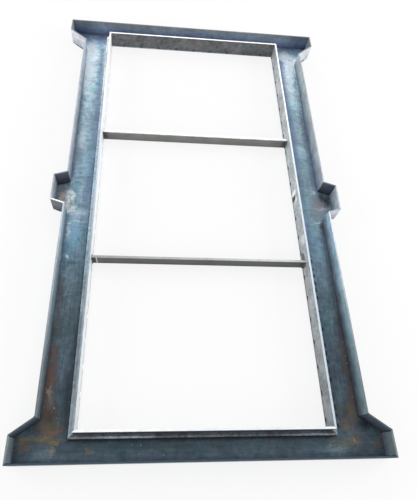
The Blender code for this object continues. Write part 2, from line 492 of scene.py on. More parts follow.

# The stains and the painted shade lie over one another in this order, from the lowest up.
FLOOR_PATCHES: dict[Stain, tuple[Patch, ...]] = {
    Stain.TEAL_SCALE: patches(
        (-530, -205, 42, 120, 0.75), (-516, 180, 34, 90, 0.55), (602, 1022, 44, 36, 1.0),
    ),
    Stain.RED_SCALE: patches(
        (-562, -430, 22, 170, 0.6), (-556, -560, 22, 120, 0.6), (-556, -780, 32, 180, 1.0),
        (558, -710, 22, 150, 0.7), (562, -850, 22, 100, 0.8), (-546, -925, 56, 90, 1.0),
        (548, -935, 40, 70, 0.65), (-600, 0, 30, 60, 0.7),
    ),
    Stain.RUST: patches(
        (-553, -800, 15, 100, 0.5), (-552, -888, 24, 44, 0.55), (-533, -965, 44, 18, 0.85),
        (-506, -963, 18, 18, 0.8), (-618, -1017, 34, 19, 0.8), (518, -958, 24, 22, 0.8),
        (548, -1000, 28, 30, 0.5), (629, -1019, 26, 22, 0.55), (-606, 20, 20, 36, 0.55),
        (-599, -16, 20, 36, 0.45), (-556, -690, 8, 70, 0.45),
    ),
    Stain.OCHRE: patches(
        (-544, -940, 44, 30, 0.5), (-520, -993, 34, 15, 1.0), (-562, -984, 56, 13, 1.2),
        (-614, -990, 32, 14, 0.85), (-403, -1025, 34, 14, 0.55), (549, -906, 28, 44, 0.6),
        (505, -1015, 66, 30, 0.45),
    ),
    Stain.BROWN_SCALE: patches(
        (-545, -918, 54, 62, 0.66), (532, -905, 56, 60, 0.55),
    ),
    Stain.GREY_SCALE: patches(
        (562, 800, 14, 140, 0.55), (578, -4, 62, 80, 1.1), (-494, 885, 14, 50, 0.6),
        (508, 885, 16, 40, 0.65), (547, 683, 22, 50, 0.45),
    ),
    Stain.BLUE_SCALE: patches(
        (-548, 200, 32, 90, 0.75), (-510, 420, 24, 120, 0.55), (460, -1035, 70, 26, 0.7),
        (-560, -1040, 60, 24, 0.6), (-525, -400, 26, 60, 0.5),
    ),
    # Painted shade, laid as patches: beside the left rebate strip, in the sill's horn corners, in line
    # with the lower cross bar, and by and in the right lug.
    Stain.PAINTED_SHADE: patches(
        (-484, -770, 16, 70, 0.55), (594, -954, 46, 44, 1.0), (-598, -950, 36, 44, 0.55),
        (-525, -326, 70, 16, 0.45), (568, -125, 24, 60, 0.7), (610, 22, 32, 46, 0.95),
        (588, 38, 32, 30, 0.85), (-490, -860, 26, 150, 0.75), (-482, -680, 18, 140, 0.55),
    ),
    Stain.PINK_GREY: patches(
        (-602, -6, 24, 44, 1.1),
    ),
    Stain.TAN: patches(
        (-551, -838, 10, 36, 0.62), (541, -1002, 12, 14, 0.45), (-576, -50, 34, 28, 0.8),
        (-525, -1023, 20, 20, 0.4),
    ),
    Stain.CHALK: patches(
        (-551, 925, 42, 100, 1.3), (-552, 780, 36, 200, 0.95), (-532, 700, 24, 60, 0.3),
        (-556, 690, 14, 50, 1.2), (-549, 930, 16, 10, 1.2), (-518, 908, 9, 16, 1.1),
        (-562, 840, 7, 20, 1.2), (-534, 775, 24, 30, 1.0), (-530, 605, 36, 40, 0.5),
        (-545, 330, 34, 120, 0.35), (545, 934, 36, 26, 1.1), (525, 990, 62, 48, 0.85),
        (539, 868, 24, 60, 1.6), (536, 882, 22, 34, 1.5), (520, 770, 34, 130, 0.55),
        (-571, 4, 26, 40, 1.7), (-576, -24, 18, 22, 1.0), (-553, -10, 15, 34, 1.25),
        (-580, -50, 24, 22, 0.6), (-574, -76, 26, 20, 1.5), (-550, -70, 22, 26, 1.5),
        (-524, -90, 52, 34, 0.45), (-526, -131, 54, 8, 0.5), (-555, -140, 10, 10, 0.8),
        (-558, -178, 9, 56, 0.6), (-552, -296, 9, 9, 0.9), (553, 69, 18, 15, 0.95),
        (582, -24, 44, 10, 0.35), (553, -96, 30, 9, 0.5),
    ),
}


@dataclass(frozen=True)
class FloorFinish(Finish):
    """Blue-grey mill scale on the floor plates, chalky with cement and painted lighter towards the
    head.
    """

    # A tone for each stretch from sill to head: dark at the sill and pale towards the head, partly
    # cement dust and partly painted light and reflection; the last stops are painted shade under the
    # head wall.
    length_tones: Stops = stops(
        (0.0, 82, 99, 108), (0.11, 78, 95, 105), (0.23, 92, 112, 122), (0.3, 104, 124, 134),
        (0.37, 120, 149, 166), (0.45, 136, 165, 181), (0.54, 136, 163, 178), (0.61, 152, 179, 194),
        (0.7, 146, 171, 185), (0.78, 166, 193, 205), (0.85, 188, 213, 224), (0.91, 212, 233, 242),
        (0.95, 204, 226, 238), (0.968, 172, 194, 218), (1.0, 140, 158, 178),
    )
    channel_x: float = 0.4713
    stitch_shadows_x: float = 0.4880
    stitch_shadow_pitch: float = 0.033
    wall_x: float = 0.572
    end_wall_y: float = 1.061
    channel_head_y: float = 1.0073
    channel_sill_y: float = -0.9913

    def paint(self, board: NodeBoard) -> None:
        """Fills the board with scale, strokes, painted shade at the walls' feet, stains and patches of
        painted shade, chalk and sawn flanks.
        """
        place = board.place()
        along = place.part("Y")
        middling = board.cloud(place, 46.0, 6.0, 0.66)
        fine = board.cloud(place, 300.0, 4.0, 0.66)
        colour = self._scale(board, place, middling)
        colour = self._strokes(board, place, colour)
        ragged = place.shaken(60.0, 0.016)
        to_right = place.part("X").rise(-0.2, 0.2)
        # Painted shade beside the rebate strips, and painted shadows of stitches on the right.
        colour = self._inner_foot_shade(board, place, ragged, to_right, colour)
        # Painted shade and grime at the feet of the outer walls.
        colour, outer_foot = self._outer_foot_shade_and_grime(board, place, ragged, to_right, colour)

        leg_fibres = board.cloud(place.stretched(1.4, 0.22, 1.0), 120.0, 5.0, 0.75)
        end_fibres = board.cloud(place.stretched(0.22, 1.4, 1.0), 120.0, 5.0, 0.75)
        fibres = leg_fibres + (end_fibres - leg_fibres) * abs(along).rise(0.93, 0.97)
        grit = (board.cloud(place, 130.0, 5.0, 0.75) * 0.45 + fibres * 0.55 - 0.5) * 3.2
        colour, rust, chalk = stained(colour, place.shaken(34.0, 0.046), grit)
        bloom = board.cloud(place, 95.0, 5.0, 0.7).rise(0.58, 0.68) * along.rise(-0.45, -0.80)
        colour = colour.under(tone(100, 82, 66), bloom * 0.45)
        specks = board.cells(place, 75.0).rise(0.085, 0.05) * board.cloud(place, 5.0).rise(0.52, 0.62)
        colour = colour.under(tone(160, 172, 178), specks * 0.45)
        colour = colour.times(0.72 + fine * 0.56)
        flank = board.flat(tone(82, 90, 99)).times(0.6 + middling * 0.8)
        colour = colour.under(flank, board.normal().part("Z").rise(0.7, 0.4) * 0.9)

        rust = rust.at_least(bloom * 0.6)
        rough = 0.42 + middling * 0.22 + rust * 0.30 + chalk * 0.22 + outer_foot * 0.15
        metal = (0.50 - rust * 0.48 - chalk * 0.35 - outer_foot * 0.2).at_least(0.0)
        height = fine * 0.5 + middling * 0.35 + rust * 0.4 + chalk * 0.3
        self.close(board, colour, rough.at_most(0.95), metal, height, 0.0009)

    def _scale(self, board: NodeBoard, place: Place, middling: Value) -> Tint:
        """Gives the mill scale: a tone for each stretch of the length, which carries painted light and
        shade, blotches and tints.

        Args:
            board: The material's board.
            place: The point on the surface.
            middling: Noise of a few centimetres.

        Returns:
            The colour.
        """
        colour = board.ramp(place.shaken(7.0, 0.10).share("Y"), self.length_tones)
        colour = colour.times(0.67 + board.blotches(place, 9.0, middling) * 0.62)
        teal = board.cloud(place.stretched(1.3, 0.5, 1.0), 13.0).rise(0.50, 0.66)
        colour = colour.under(colour.tinted(tone(200, 248, 252)), teal * 0.45)
        violet = board.cloud(place.stretched(0.8, 0.6, 1.0), 23.0).rise(0.53, 0.68)
        return colour.under(colour.tinted(tone(244, 214, 250)), violet * 0.55)

    @staticmethod
    def _strokes(board: NodeBoard, place: Place, colour: Tint) -> Tint:
        """Lays scraper strokes across the legs and along the two ends.

        Args:
            board: The material's board.
            place: The point on the surface.
            colour: The colour below.

        Returns:
            The colour with the strokes.
        """
        along = place.part("Y")
        ends = abs(along).rise(0.965, 0.985)
        strokes = place.shaken(5.0, 0.12)
        leg_strokes = board.cloud(strokes.stretched(1.0, 6.0, 1.0), 17.0, 6.0, 0.72)
        leg_lines = board.cloud(place.stretched(9.0, 0.8, 1.0), 14.0, 6.0, 0.68)
        end_lines = board.cloud(place.stretched(0.8, 7.0, 1.0), 14.0, 6.0, 0.68)
        near_sill = along.rise(0.2, -0.5)
        leg_grain = leg_strokes + (leg_lines - leg_strokes) * (0.25 + near_sill * 0.45)
        grain = (leg_grain + (end_lines - leg_grain) * ends).rise(0.34, 0.66)
        colour = colour.times(1.0 + (grain - 0.5) * (0.62 - ends * 0.26))
        on_right = place.part("X").rise(0.2, 0.45) * along.rise(-0.55, -0.25) * along.rise(0.75, 0.50)
        colour = colour.under(tone(130, 152, 160), on_right * 0.36)
        # Chalk-pale strokes towards the head: cement dust and painted reflection.
        bright = board.cloud(strokes.stretched(1.2, 5.0, 1.0), 24.0, 7.0, 0.76).rise(0.52, 0.66)
        towards_head = along.rise(-0.5, 0.95) * (1.0 - ends)
        return colour.under(Stain.CHALK.value, bright * towards_head * 0.50)

    def _inner_foot_shade(
        self, board: NodeBoard, place: Place, ragged: Place, to_right: Value, colour: Tint
    ) -> Tint:
        """Lays painted shade beside the rebate strips, darker at their very foot, and a row of painted
        stitch shadows on the right.

        Args:
            board: The material's board.
            place: The point on the surface.
            ragged: The same point, pushed about by a few millimetres.
            to_right: 0 on the left half and 1 on the right.
            colour: The colour below.

        Returns:
            The colour with the painted shade and the shadows.
        """
        along = place.part("Y")
        # Painted shade beside the rebate strips: stronger towards the head, teal and darker towards the
        # sill.
        beside = ragged.beyond(self.channel_x, self.channel_head_y, self.channel_sill_y)
        painted_shade_share = 0.46 + along.rise(-0.2, 0.9) * (0.22 + to_right * 0.22)
        painted_shade_share = painted_shade_share - to_right * along.rise(-0.15, -0.30) * 0.18
        pale_foot = (1.0 - to_right) * along.rise(0.2, 0.8) * beside.rise(0.018, 0.006)
        painted_shade_share = painted_shade_share * (1.0 - pale_foot * 0.55) * (1.0 - along.rise(0.94, 0.985) * 0.7)
        teal_share = along.rise(0.1, -0.25) * (1.0 - to_right)
        painted_shade_tone = board.flat(tone(74, 98, 134)).under(tone(78, 102, 114), teal_share)
        painted_shade_tone = painted_shade_tone.under(tone(52, 68, 80), along.rise(-0.3, -0.8))
        colour = colour.under(painted_shade_tone, beside.rise(0.056, 0.016) * painted_shade_share)
        # Painted shade at the very foot of the strips, stronger towards the sill.
        crease_shade = beside.rise(0.014, 0.0) * (0.12 + along.rise(0.6, -0.6) * 0.68)
        colour = colour.under(tone(24, 38, 52), crease_shade)
        # Painted shadows of stitch welds, in a row on the floor just beyond the right strip.
        stitch_shadows = ragged.part("Y").from_nearest(self.stitch_shadow_pitch).rise(0.012, 0.006)
        stitch_shadows = stitch_shadows * board.cloud(place, 21.0).rise(0.38, 0.52)
        in_row = abs(ragged.part("X") - self.stitch_shadows_x).rise(0.009, 0.005)
        in_row = in_row * along.rise(-0.10, -0.35) * along.rise(-0.972, -0.960)
        return colour.under(tone(14, 22, 50), stitch_shadows * in_row * 0.92)

    def _outer_foot_shade_and_grime(
        self, board: NodeBoard, place: Place, ragged: Place, to_right: Value, colour: Tint
    ) -> tuple[Tint, Value]:
        """Lays painted shade and grime at the foot of the outer walls along the legs, and painted shade
        at the foot of both end walls.

        Args:
            board: The material's board.
            place: The point on the surface.
            ragged: The same point, pushed about by a few millimetres.
            to_right: 0 on the left half and 1 on the right.
            colour: The colour below.

        Returns:
            The colour with the painted foot, and the foot's share on the legs.
        """
        along = place.part("Y")
        # Painted shade and grime along the foot of the legs' outer walls, wider on the right.
        on_leg = abs(along - LUG_MIDDLE_Y).rise(0.085, 0.115) * abs(along).rise(0.94, 0.87)
        away = abs(abs(ragged.part("X")) - self.wall_x)
        narrow, wide = away.rise(0.020, 0.0), away.rise(0.032, 0.004)
        foot = (narrow + (wide - narrow) * to_right) * on_leg * along.rise(0.85, 0.45)
        foot_shade_and_grime_tone = board.flat(tone(80, 86, 112)).under(tone(72, 64, 66), along.rise(-0.1, -0.6))
        strength = 0.42 + along.rise(0.1, -0.3) * (to_right * 0.40 - 0.18)
        colour = colour.under(foot_shade_and_grime_tone, foot * strength)
        # Painted shade at the foot of both end walls.
        end_wall_shade = abs(ragged.part("Y")).rise(self.end_wall_y - 0.024, self.end_wall_y)
        return colour.under(tone(44, 56, 84), end_wall_shade * 0.40), foot


class Facing(Enum):
    """Which way the outside of a wall faces."""

    SIDEWAYS = "away from the middle, across the frame"
    LENGTHWISE = "away from the middle, along the frame"
    TO_SILL = "towards the sill"
    TO_HEAD = "towards the head"


@dataclass(frozen=True)
class OuterWallFinish(Finish):
    """Mill scale on the outer walls, with painted shade at the foot and painted light and cement dust
    towards the rim, and rust at the foot.
    """

    facing: Facing = Facing.SIDEWAYS
    foot: Colour = tone(130, 132, 146)
    low: Colour = tone(178, 190, 206)
    high: Colour = tone(204, 217, 227)
    rim: Colour = tone(208, 215, 223)
    outer_foot: Colour = tone(98, 106, 118)
    outer_rim: Colour = tone(140, 152, 164)
    edge: Colour = tone(174, 181, 189)
    sill_light_level: float = 0.45
    head_light_level: float = 0.88
    end_level: float = 1.0
    pale_foot_y: float = -0.50
    edge_highlight: float = 0.0
    rim_light_lift: float = 0.0
    haze_and_reflection: float = 0.0

    def _outside(self, board: NodeBoard, place: Place) -> Value:
        """Gives 1 on the outside of the wall and 0 on the channel's side.

        Args:
            board: The material's board.
            place: The point on the surface.

        Returns:
            The share.
        """
        normal = board.normal()
        if self.facing is Facing.SIDEWAYS:
            return (normal.part("X") * place.part("X")).rise(0.15, 0.35)
        if self.facing is Facing.LENGTHWISE:
            return (normal.part("Y") * place.part("Y")).rise(0.30, 0.60)
        to_head = normal.part("Y")
        return to_head.rise(0.3, 0.5) if self.facing is Facing.TO_HEAD else to_head.rise(-0.3, -0.5)

    def paint(self, board: NodeBoard) -> None:
        """Fills the board with a rim-to-foot tone of painted shade and light, runs, rust at the foot
        and a rubbed edge that follows the painted light.
        """
        place = board.place()
        along, up = place.part("Y"), place.part("Z")
        height_share = place.shaken(24.0, 0.020).part("Z") * (1 / WALL_HEIGHT)
        # On the channel side the tone runs from painted shade at the foot to painted light at the rim,
        # with some cement dust there.
        tones = ((0.04, self.foot), (0.25, self.low), (0.58, self.high), (0.90, self.rim))
        inner = board.ramp(height_share, tones)
        pale_foot = abs(along - self.pale_foot_y).rise(0.40, 0.15) * height_share.rise(0.60, 0.10)
        inner = inner.times(1.0 + pale_foot * 0.42)
        outer = board.ramp(height_share, ((0.05, self.outer_foot), (0.85, self.outer_rim)))
        colour = inner.under(outer, self._outside(board, place))
        # Painted light: darker towards the sill and lighter towards the head.
        level = self.sill_light_level + along.rise(-0.95, -0.25) * (self.head_light_level - self.sill_light_level)
        colour = colour.times(level)
        colour = colour.times(1.0 - abs(place.part("X")).rise(0.32, 0.60) * (1.0 - self.end_level))

        middling = board.cloud(place.stretched(0.5, 0.5, 1.0), 60.0, 5.0, 0.66)
        fine = board.cloud(place, 330.0, 4.0, 0.66)
        colour = colour.times(0.80 + board.blotches(place, 13.0, middling) * 0.38)
        runs = board.cloud(place.stretched(1.0, 1.0, 0.25), 60.0, 5.0, 0.62).rise(0.34, 0.66)
        colour = colour.times(0.95 + runs * 0.10)
        violet = board.cloud(place, 11.0).rise(0.50, 0.70) * (0.35 + along.rise(-0.5, 0.5) * 0.65)
        colour = colour.under(colour.tinted(tone(246, 222, 246)), violet * 0.6)
        teal = (board.cloud(place, 7.0) * 0.5 + along.rise(0.3, -0.6) * 0.6).rise(0.35, 0.80)
        colour = colour.under(colour.tinted(tone(236, 254, 254)), teal * 0.6)
        # Painted light on the upper part of the channel side: warm towards the head, brighter and cool
        # towards the sill.
        warm_rim_light = height_share.rise(0.15, 0.60) * along.rise(0.05, 0.25)
        colour = colour.under(colour.times(1.22).tinted(tone(255, 255, 243)), warm_rim_light * self.rim_light_lift)
        cool_rim_light = height_share.rise(0.30, 0.95) * along.rise(0.05, -0.15)
        colour = colour.under(colour.times(1.55).tinted(tone(230, 250, 255)), cool_rim_light * self.rim_light_lift)
        # Pale near the top towards the head: cement dust and a painted reflection.
        haze_and_reflection = height_share.rise(0.75, 0.05) * along.rise(0.74, 0.86) * along.rise(0.96, 0.90)
        colour = colour.under(tone(222, 232, 242), haze_and_reflection * self.haze_and_reflection)

        rust_field = board.cloud(place, 30.0, 7.0, 0.68)
        reach = rust_field + (0.030 - up).at_least(-0.03) * 3.4 - along.rise(-0.9, 0.6) * 0.13
        rust = reach.rise(0.57, 0.72)
        colour = colour.under(tone(92, 74, 68), rust * 0.60)
        fresh = board.cloud(place, 120.0, 4.0, 0.7).rise(0.48, 0.64)
        colour = colour.under(tone(122, 88, 66), rust * fresh * 0.5)
        rubbed = board.cloud(place, 34.0, 5.0, 0.7)
        on_edge = up.rise(0.0836, 0.0846)
        below_lug = abs(along + 0.16).rise(0.16, 0.06)
        # The top edge follows the painted light level, brighter below the lug, with a painted highlight
        # on the right wall.
        edge_level = level * (1.0 + below_lug * 0.30 - along.rise(-0.5, -0.8) * 0.25)
        edge_highlight_share = abs(along + 0.19).rise(0.45, 0.10) - along.rise(0.50, 0.70) * 0.45
        edge_level = edge_level * (1.0 + edge_highlight_share * self.edge_highlight)
        edge = board.flat(self.edge).times(edge_level * (0.86 + rubbed.rise(0.34, 0.60) * 0.22))
        colour = colour.under(edge, on_edge)
        scuffs = board.cloud(place.stretched(1.0, 1.0, 7.0), 34.0, 6.0, 0.74).rise(0.60, 0.68)
        colour = colour.under(colour.times(1.5), scuffs * 0.6)
        colour = colour.times(0.76 + fine * 0.48)

        rough = (0.46 + middling * 0.20 + rust * 0.28 - on_edge * 0.10).at_most(0.95)
        metal = (0.45 - rust * 0.42 + on_edge * 0.2).at_least(0.0)
        height = fine * 0.5 + middling * 0.3 + rust * rust_field * 0.6
        self.close(board, colour, rough, metal, height, 0.0009)


def even(level: float) -> dict[str, float]:
    """The settings of an outer wall that is equally light from sill to head."""
    return {"sill_light_level": level, "head_light_level": level}


@dataclass(frozen=True)
class Spot:
    """One mark on the right inner wall's face: its place, how far it reaches and its colour."""

    y: float
    z: float
    reach: float
    colour: Colour


@dataclass(frozen=True)
class InnerWallFinish(Finish):
    """Steel rubbed pale on the side of the opening, with a bright cut edge on top and painted shade on
    the channel side.
    """

    face: Colour = tone(200, 206, 210)
    shade: Colour = tone(146, 154, 159)
    dirt: Colour = tone(98, 98, 98)
    channel_side_shade: Colour = tone(92, 104, 120)
    edges: Stops = stops(
        (0.0, 116, 128, 136), (0.16, 126, 140, 148), (0.33, 142, 158, 167), (0.6, 204, 214, 222),
        (0.85, 248, 250, 252),
    )
    edge_axis: str = "Y"
    sill_light_level: float = 0.60
    head_light_level: float = 1.00
    contrast: float = 0.85
    tints: float = 0.7
    rust: float = 0.40
    spots: tuple[Spot, ...] = ()

    def paint(self, board: NodeBoard) -> None:
        """Fills the board with mottled pale steel, painted shade on the channel side, a foot darkened
        by dirt and painted shade, ground spots and the edge.
        """
        place = board.place()
        along, up = place.part("Y"), place.part("Z")
        normal = board.normal()
        outward = normal.part("X") * place.part("X") + normal.part("Y") * along
        middling = board.cloud(place, 70.0, 5.0, 0.68)
        fine = board.cloud(place, 360.0, 4.0, 0.66)
        blotch = board.blotches(place, 15.0, middling, 0.40)
        colour = board.flat(self.face).under(self.shade, blotch * self.contrast)
        # Painted shade on the side that faces into the channel.
        in_channel = outward.rise(0.1, 0.3)
        colour = colour.under(self.channel_side_shade, in_channel)
        # Painted light: darker towards the sill and lighter towards the head.
        light_level_rise = self.head_light_level - self.sill_light_level
        colour = colour.times(self.sill_light_level + along.rise(-1.0, 0.1) * light_level_rise)
        drawn = board.cloud(place.stretched(1.4, 1.4, 9.0), 24.0, 6.0, 0.70).rise(0.34, 0.66)
        colour = colour.times(0.82 + drawn * 0.32)
        warm = board.cloud(place, 12.0, 4.0, 0.6)
        colour = colour.under(colour.tinted(tone(255, 242, 238)), warm.rise(0.52, 0.66) * self.tints)
        colour = colour.under(colour.tinted(tone(240, 255, 248)), warm.rise(0.48, 0.34) * self.tints)
        # Darker at the foot: dirt and painted shade where the wall meets the floor.
        foot = (middling * 0.030 + up).rise(0.036, 0.016)
        colour = colour.under(self.dirt, foot * 0.40)
        pits = board.cells(place, 110.0).rise(0.20, 0.10) * board.cloud(place, 22.0).rise(0.46, 0.60)
        colour = colour.under(tone(70, 66, 62), pits * 0.65)
        rust = board.cloud(place, 36.0, 7.0, 0.7).rise(0.59, 0.70)
        colour = colour.under(tone(124, 104, 90), rust * self.rust)

        shaken = place.shaken(70.0, 0.012)
        for spot in self.spots:
            middle = (OPENING_X, spot.y, spot.z)
            near = board.node("ShaderNodeVectorMath", {"operation": "DISTANCE"}, {0: shaken, 1: middle})
            away = Value(board, near.outputs["Value"])
            share = away.rise(spot.reach, spot.reach * 0.65) * (0.95 - in_channel * 0.95)
            colour = colour.under(spot.colour, share)

        # The top edge takes its tone from a ramp along the wall; on the legs it is lighter towards the
        # head, which is painted light.
        on_edge = up.rise(0.0838, 0.0846)
        worn = board.cloud(place, 26.0, 6.0, 0.7).rise(0.66, 0.42)
        edge = board.ramp(place.share(self.edge_axis), self.edges)
        colour = colour.under(edge, on_edge * (0.80 + worn * 0.20))
        colour = colour.times(0.80 + fine * 0.40)

        rough = (0.44 + middling * 0.24 + rust * 0.25 + foot * 0.12 - on_edge * 0.10).at_most(0.95)
        metal = (0.45 - rust * 0.40 - foot * 0.20).at_least(0.0)
        height = fine * 0.45 + middling * 0.3 + rust * 0.3 - pits * 0.5
        self.close(board, colour, rough, metal, height, 0.0008)


@dataclass(frozen=True)
class RebateFinish(Finish):
    """The rebate strips: a ledge rubbed along its front, with dirt and painted shade behind it and
    painted shade on its flank.
    """

    # A tone for each stretch of the length, lighter towards the head: rubbed steel with painted light.
    tones: Stops = stops(
        (0.1, 158, 168, 178), (0.19, 144, 158, 168), (0.25, 160, 176, 186), (0.3, 158, 178, 190),
        (0.4, 190, 214, 228), (0.55, 192, 216, 236), (0.7, 212, 228, 240), (0.85, 246, 250, 254),
    )
    axis: str = "Y"
    back: Colour | None = None
    back_share: float = 0.88
    flank: Colour = tone(72, 88, 106)
    flank_lime: float = 0.55
    front_from: float = 0.009
    contrast: float = 0.56
    wall_head_y: float = 0.989
    wall_sill_y: float = -0.973
    half_length: float = HALF_LENGTH

    def paint(self, board: NodeBoard) -> None:
        """Fills the board with the rubbed front of the ledge, its back darkened by dirt and painted
        shade, and the flank in painted shade.
        """
        place = board.place()
        ragged = place.shaken(50.0, 0.005)
        from_wall = ragged.beyond(INNER_WALL_X, self.wall_head_y, self.wall_sill_y)
        middling = board.cloud(place, 75.0, 5.0, 0.68)
        fine = board.cloud(place, 350.0, 4.0, 0.66)
        front = from_wall.rise(self.front_from, self.front_from + 0.003)
        rubbed = board.ramp(place.shaken(9.0, 0.12).share(self.axis, self.half_length), self.tones)
        # Behind the rubbed front the ledge is darker: dirt and painted shade under the wall.
        shaded = rubbed.times(self.back_share) if self.back is None else board.flat(self.back)
        colour = shaded.under(rubbed, front)
        blotch = board.blotches(place, 16.0, middling)
        colour = colour.times(1.0 - self.contrast * 0.6 + blotch * self.contrast)
        dirt = board.cloud(place, 44.0, 7.0, 0.72).rise(0.56, 0.70)
        colour = colour.under(tone(98, 88, 84), dirt * 0.40)
        # The flank that faces into the channel is painted dark as shade, broken by lime.
        limed = board.cloud(place.stretched(1.0, 1.0, 0.6), 58.0, 5.0, 0.7).rise(0.50, 0.60)
        flank = board.flat(self.flank).times(0.6 + middling * 0.8)
        flank_shade_share = place.part("Z").rise(0.0396, 0.0376) * (0.92 - limed * self.flank_lime)
        colour = colour.under(flank, flank_shade_share)
        colour = colour.times(0.78 + fine * 0.44)
        rough = (0.48 + middling * 0.24 + dirt * 0.2).at_most(0.95)
        metal = (0.40 - dirt * 0.30).at_least(0.0)
        self.close(board, colour, rough, metal, fine * 0.5 + middling * 0.4 + dirt * 0.3, 0.0008)


@dataclass(frozen=True)
class CrossBarFinish(Finish):
    """Dark rolled flat bar, streaked along its length, with rubbed edges and a painted highlight along
    the top.
    """

    face: Colour = tone(98, 98, 97)
    low_bar_edge: Colour = tone(182, 187, 188)
    high_bar_edge: Colour = tone(250, 251, 251)
    line_x: float = -0.4255

    def paint(self, board: NodeBoard) -> None:
        """Fills the board with drawn streaks, tints, burnt ends, painted light and shade, and the
        rubbed top edge with its painted highlight.
        """
        place = board.place()
        across, along, up = place.part("X"), place.part("Y"), place.part("Z")
        drawn = board.cloud(place.stretched(0.35, 1.0, 9.0), 30.0, 6.0, 0.70).rise(0.34, 0.66)
        broad = board.cloud(place, 10.0, 5.0, 0.62).rise(0.36, 0.64)
        fine = board.cloud(place, 420.0, 4.0, 0.66)
        # Painted light and shade: the upper bar lighter than the lower, the ends by the walls darker
        # and the top lighter.
        level = (0.80 + along.rise(-0.2, 0.2) * 0.86) * (1.0 - abs(across).rise(0.34, 0.44) * 0.18)
        level = level * (0.90 + up.rise(0.010, 0.050) * 0.20)
        colour = board.flat(self.face).times(level * (0.70 + drawn * 0.32 + broad * 0.26))
        green = board.cloud(place, 7.0).rise(0.48, 0.64)
        colour = colour.under(colour.tinted(tone(226, 250, 222)), green * 0.7)
        violet = board.cloud(place.stretched(1.0, 1.0, 2.0), 11.0).rise(0.50, 0.66)
        colour = colour.under(colour.tinted(tone(248, 222, 250)), violet * 0.6)
        rust = board.cloud(place.stretched(0.6, 1.0, 1.6), 38.0, 7.0, 0.7).rise(0.58, 0.70)
        colour = colour.under(tone(110, 90, 76), rust * 0.40)
        burnt = abs(across).rise(OPENING_X - 0.030, OPENING_X - 0.008)
        colour = colour.under(tone(46, 46, 48), burnt * 0.80)
        lower = along.rise(0.1, -0.1)
        browned = abs(across - self.line_x - 0.014).rise(0.016, 0.004)
        colour = colour.under(tone(98, 86, 74), browned * lower * 0.7)
        line = abs(across - self.line_x).rise(0.0036, 0.0014)
        colour = colour.under(tone(206, 206, 198), line * lower * 0.85)
        # A painted highlight along the top edge and, on the upper bar, just below it, brighter to the
        # right; painted shade along the bottom edge.
        bottom_shade = up.rise(0.004, 0.0015)
        worn = board.cloud(place, 30.0, 6.0, 0.7).rise(0.68, 0.42)
        under_edge = (up + worn * 0.0012).rise(0.0500, 0.0520) * (1.0 - lower) * 0.8
        on_edge = up.rise(0.0536, 0.0545).at_least(under_edge)
        light_from_right = 1.0 + across.rise(0.0, 0.3) * 0.28 - across.rise(0.0, -0.42) * 0.20
        lit = board.flat(self.high_bar_edge).under(board.flat(self.low_bar_edge).times(light_from_right), lower)
        colour = colour.under(lit, on_edge * (0.80 + worn * 0.20))
        colour = colour.under(tone(52, 52, 54), bottom_shade * 0.6)
        colour = colour.times(0.80 + fine * 0.40)
        rough = (0.46 + broad * 0.16 + rust * 0.3 - on_edge * 0.08).at_most(0.95)
        metal = (0.45 - rust * 0.40).at_least(0.0)
        self.close(board, colour, rough, metal, fine * 0.5 + drawn * 0.25 + rust * 0.3, 0.0008)


@dataclass(frozen=True)
class WeldFinish(Finish):
    """Weld metal: slag-dark or ground bright, with rust in its hollows."""

    crown: Colour = tone(92, 92, 94)
    hollow: Colour = tone(48, 44, 44)
    rust_share: float = 0.45
    heat_share: float = 0.35

    def paint(self, board: NodeBoard) -> None:
        """Fills the board with heat colours, slag and rust."""
        place = board.place()
        broad = board.cloud(place, 60.0, 5.0, 0.65)
        fine = board.cloud(place, 700.0, 4.0, 0.65)
        low = (broad * 0.6 + fine * 0.4).rise(0.40, 0.62)
        colour = board.flat(self.crown).under(self.hollow, low)
        heat = board.cloud(place, 140.0).rise(0.54, 0.68) * self.heat_share
        colour = colour.under(tone(62, 70, 98), heat)
        rust = board.cloud(place, 190.0, 6.0, 0.7).rise(0.55, 0.67)
        colour = colour.under(tone(124, 82, 56), rust * self.rust_share)
        rough = (0.40 + fine * 0.25 + rust * 0.3).at_most(0.95)
        metal = (0.65 - rust * 0.5).at_least(0.0)
        self.close(board, colour, rough, metal, fine + rust * 0.4, 0.0004)


@dataclass(frozen=True)
class CementFinish(Finish):
    """Dried cement that was never scraped off."""

    def paint(self, board: NodeBoard) -> None:
        """Fills the board with chalky grey, grit and pores, darker towards the sill as painted shade.
        """
        place = board.place()
        middling = board.cloud(place, 90.0, 6.0, 0.65)
        fine = board.cloud(place, 900.0, 4.0, 0.7)
        pores = board.cells(place, 520.0).rise(0.22, 0.12)
        colour = board.flat(tone(226, 231, 233)).under(tone(188, 193, 194), middling.rise(0.42, 0.62))
        colour = colour.times(0.84 + fine * 0.32).under(tone(112, 110, 104), pores * 0.5)
        # Darker towards the sill: painted shade, as on the floor.
        colour = colour.times(0.55 + place.part("Y").rise(-0.95, -0.30) * 0.45)
        rough = 0.82 + fine * 0.16
        self.close(board, colour, rough, 0.0, fine * 0.7 - pores * 0.6, 0.0006)


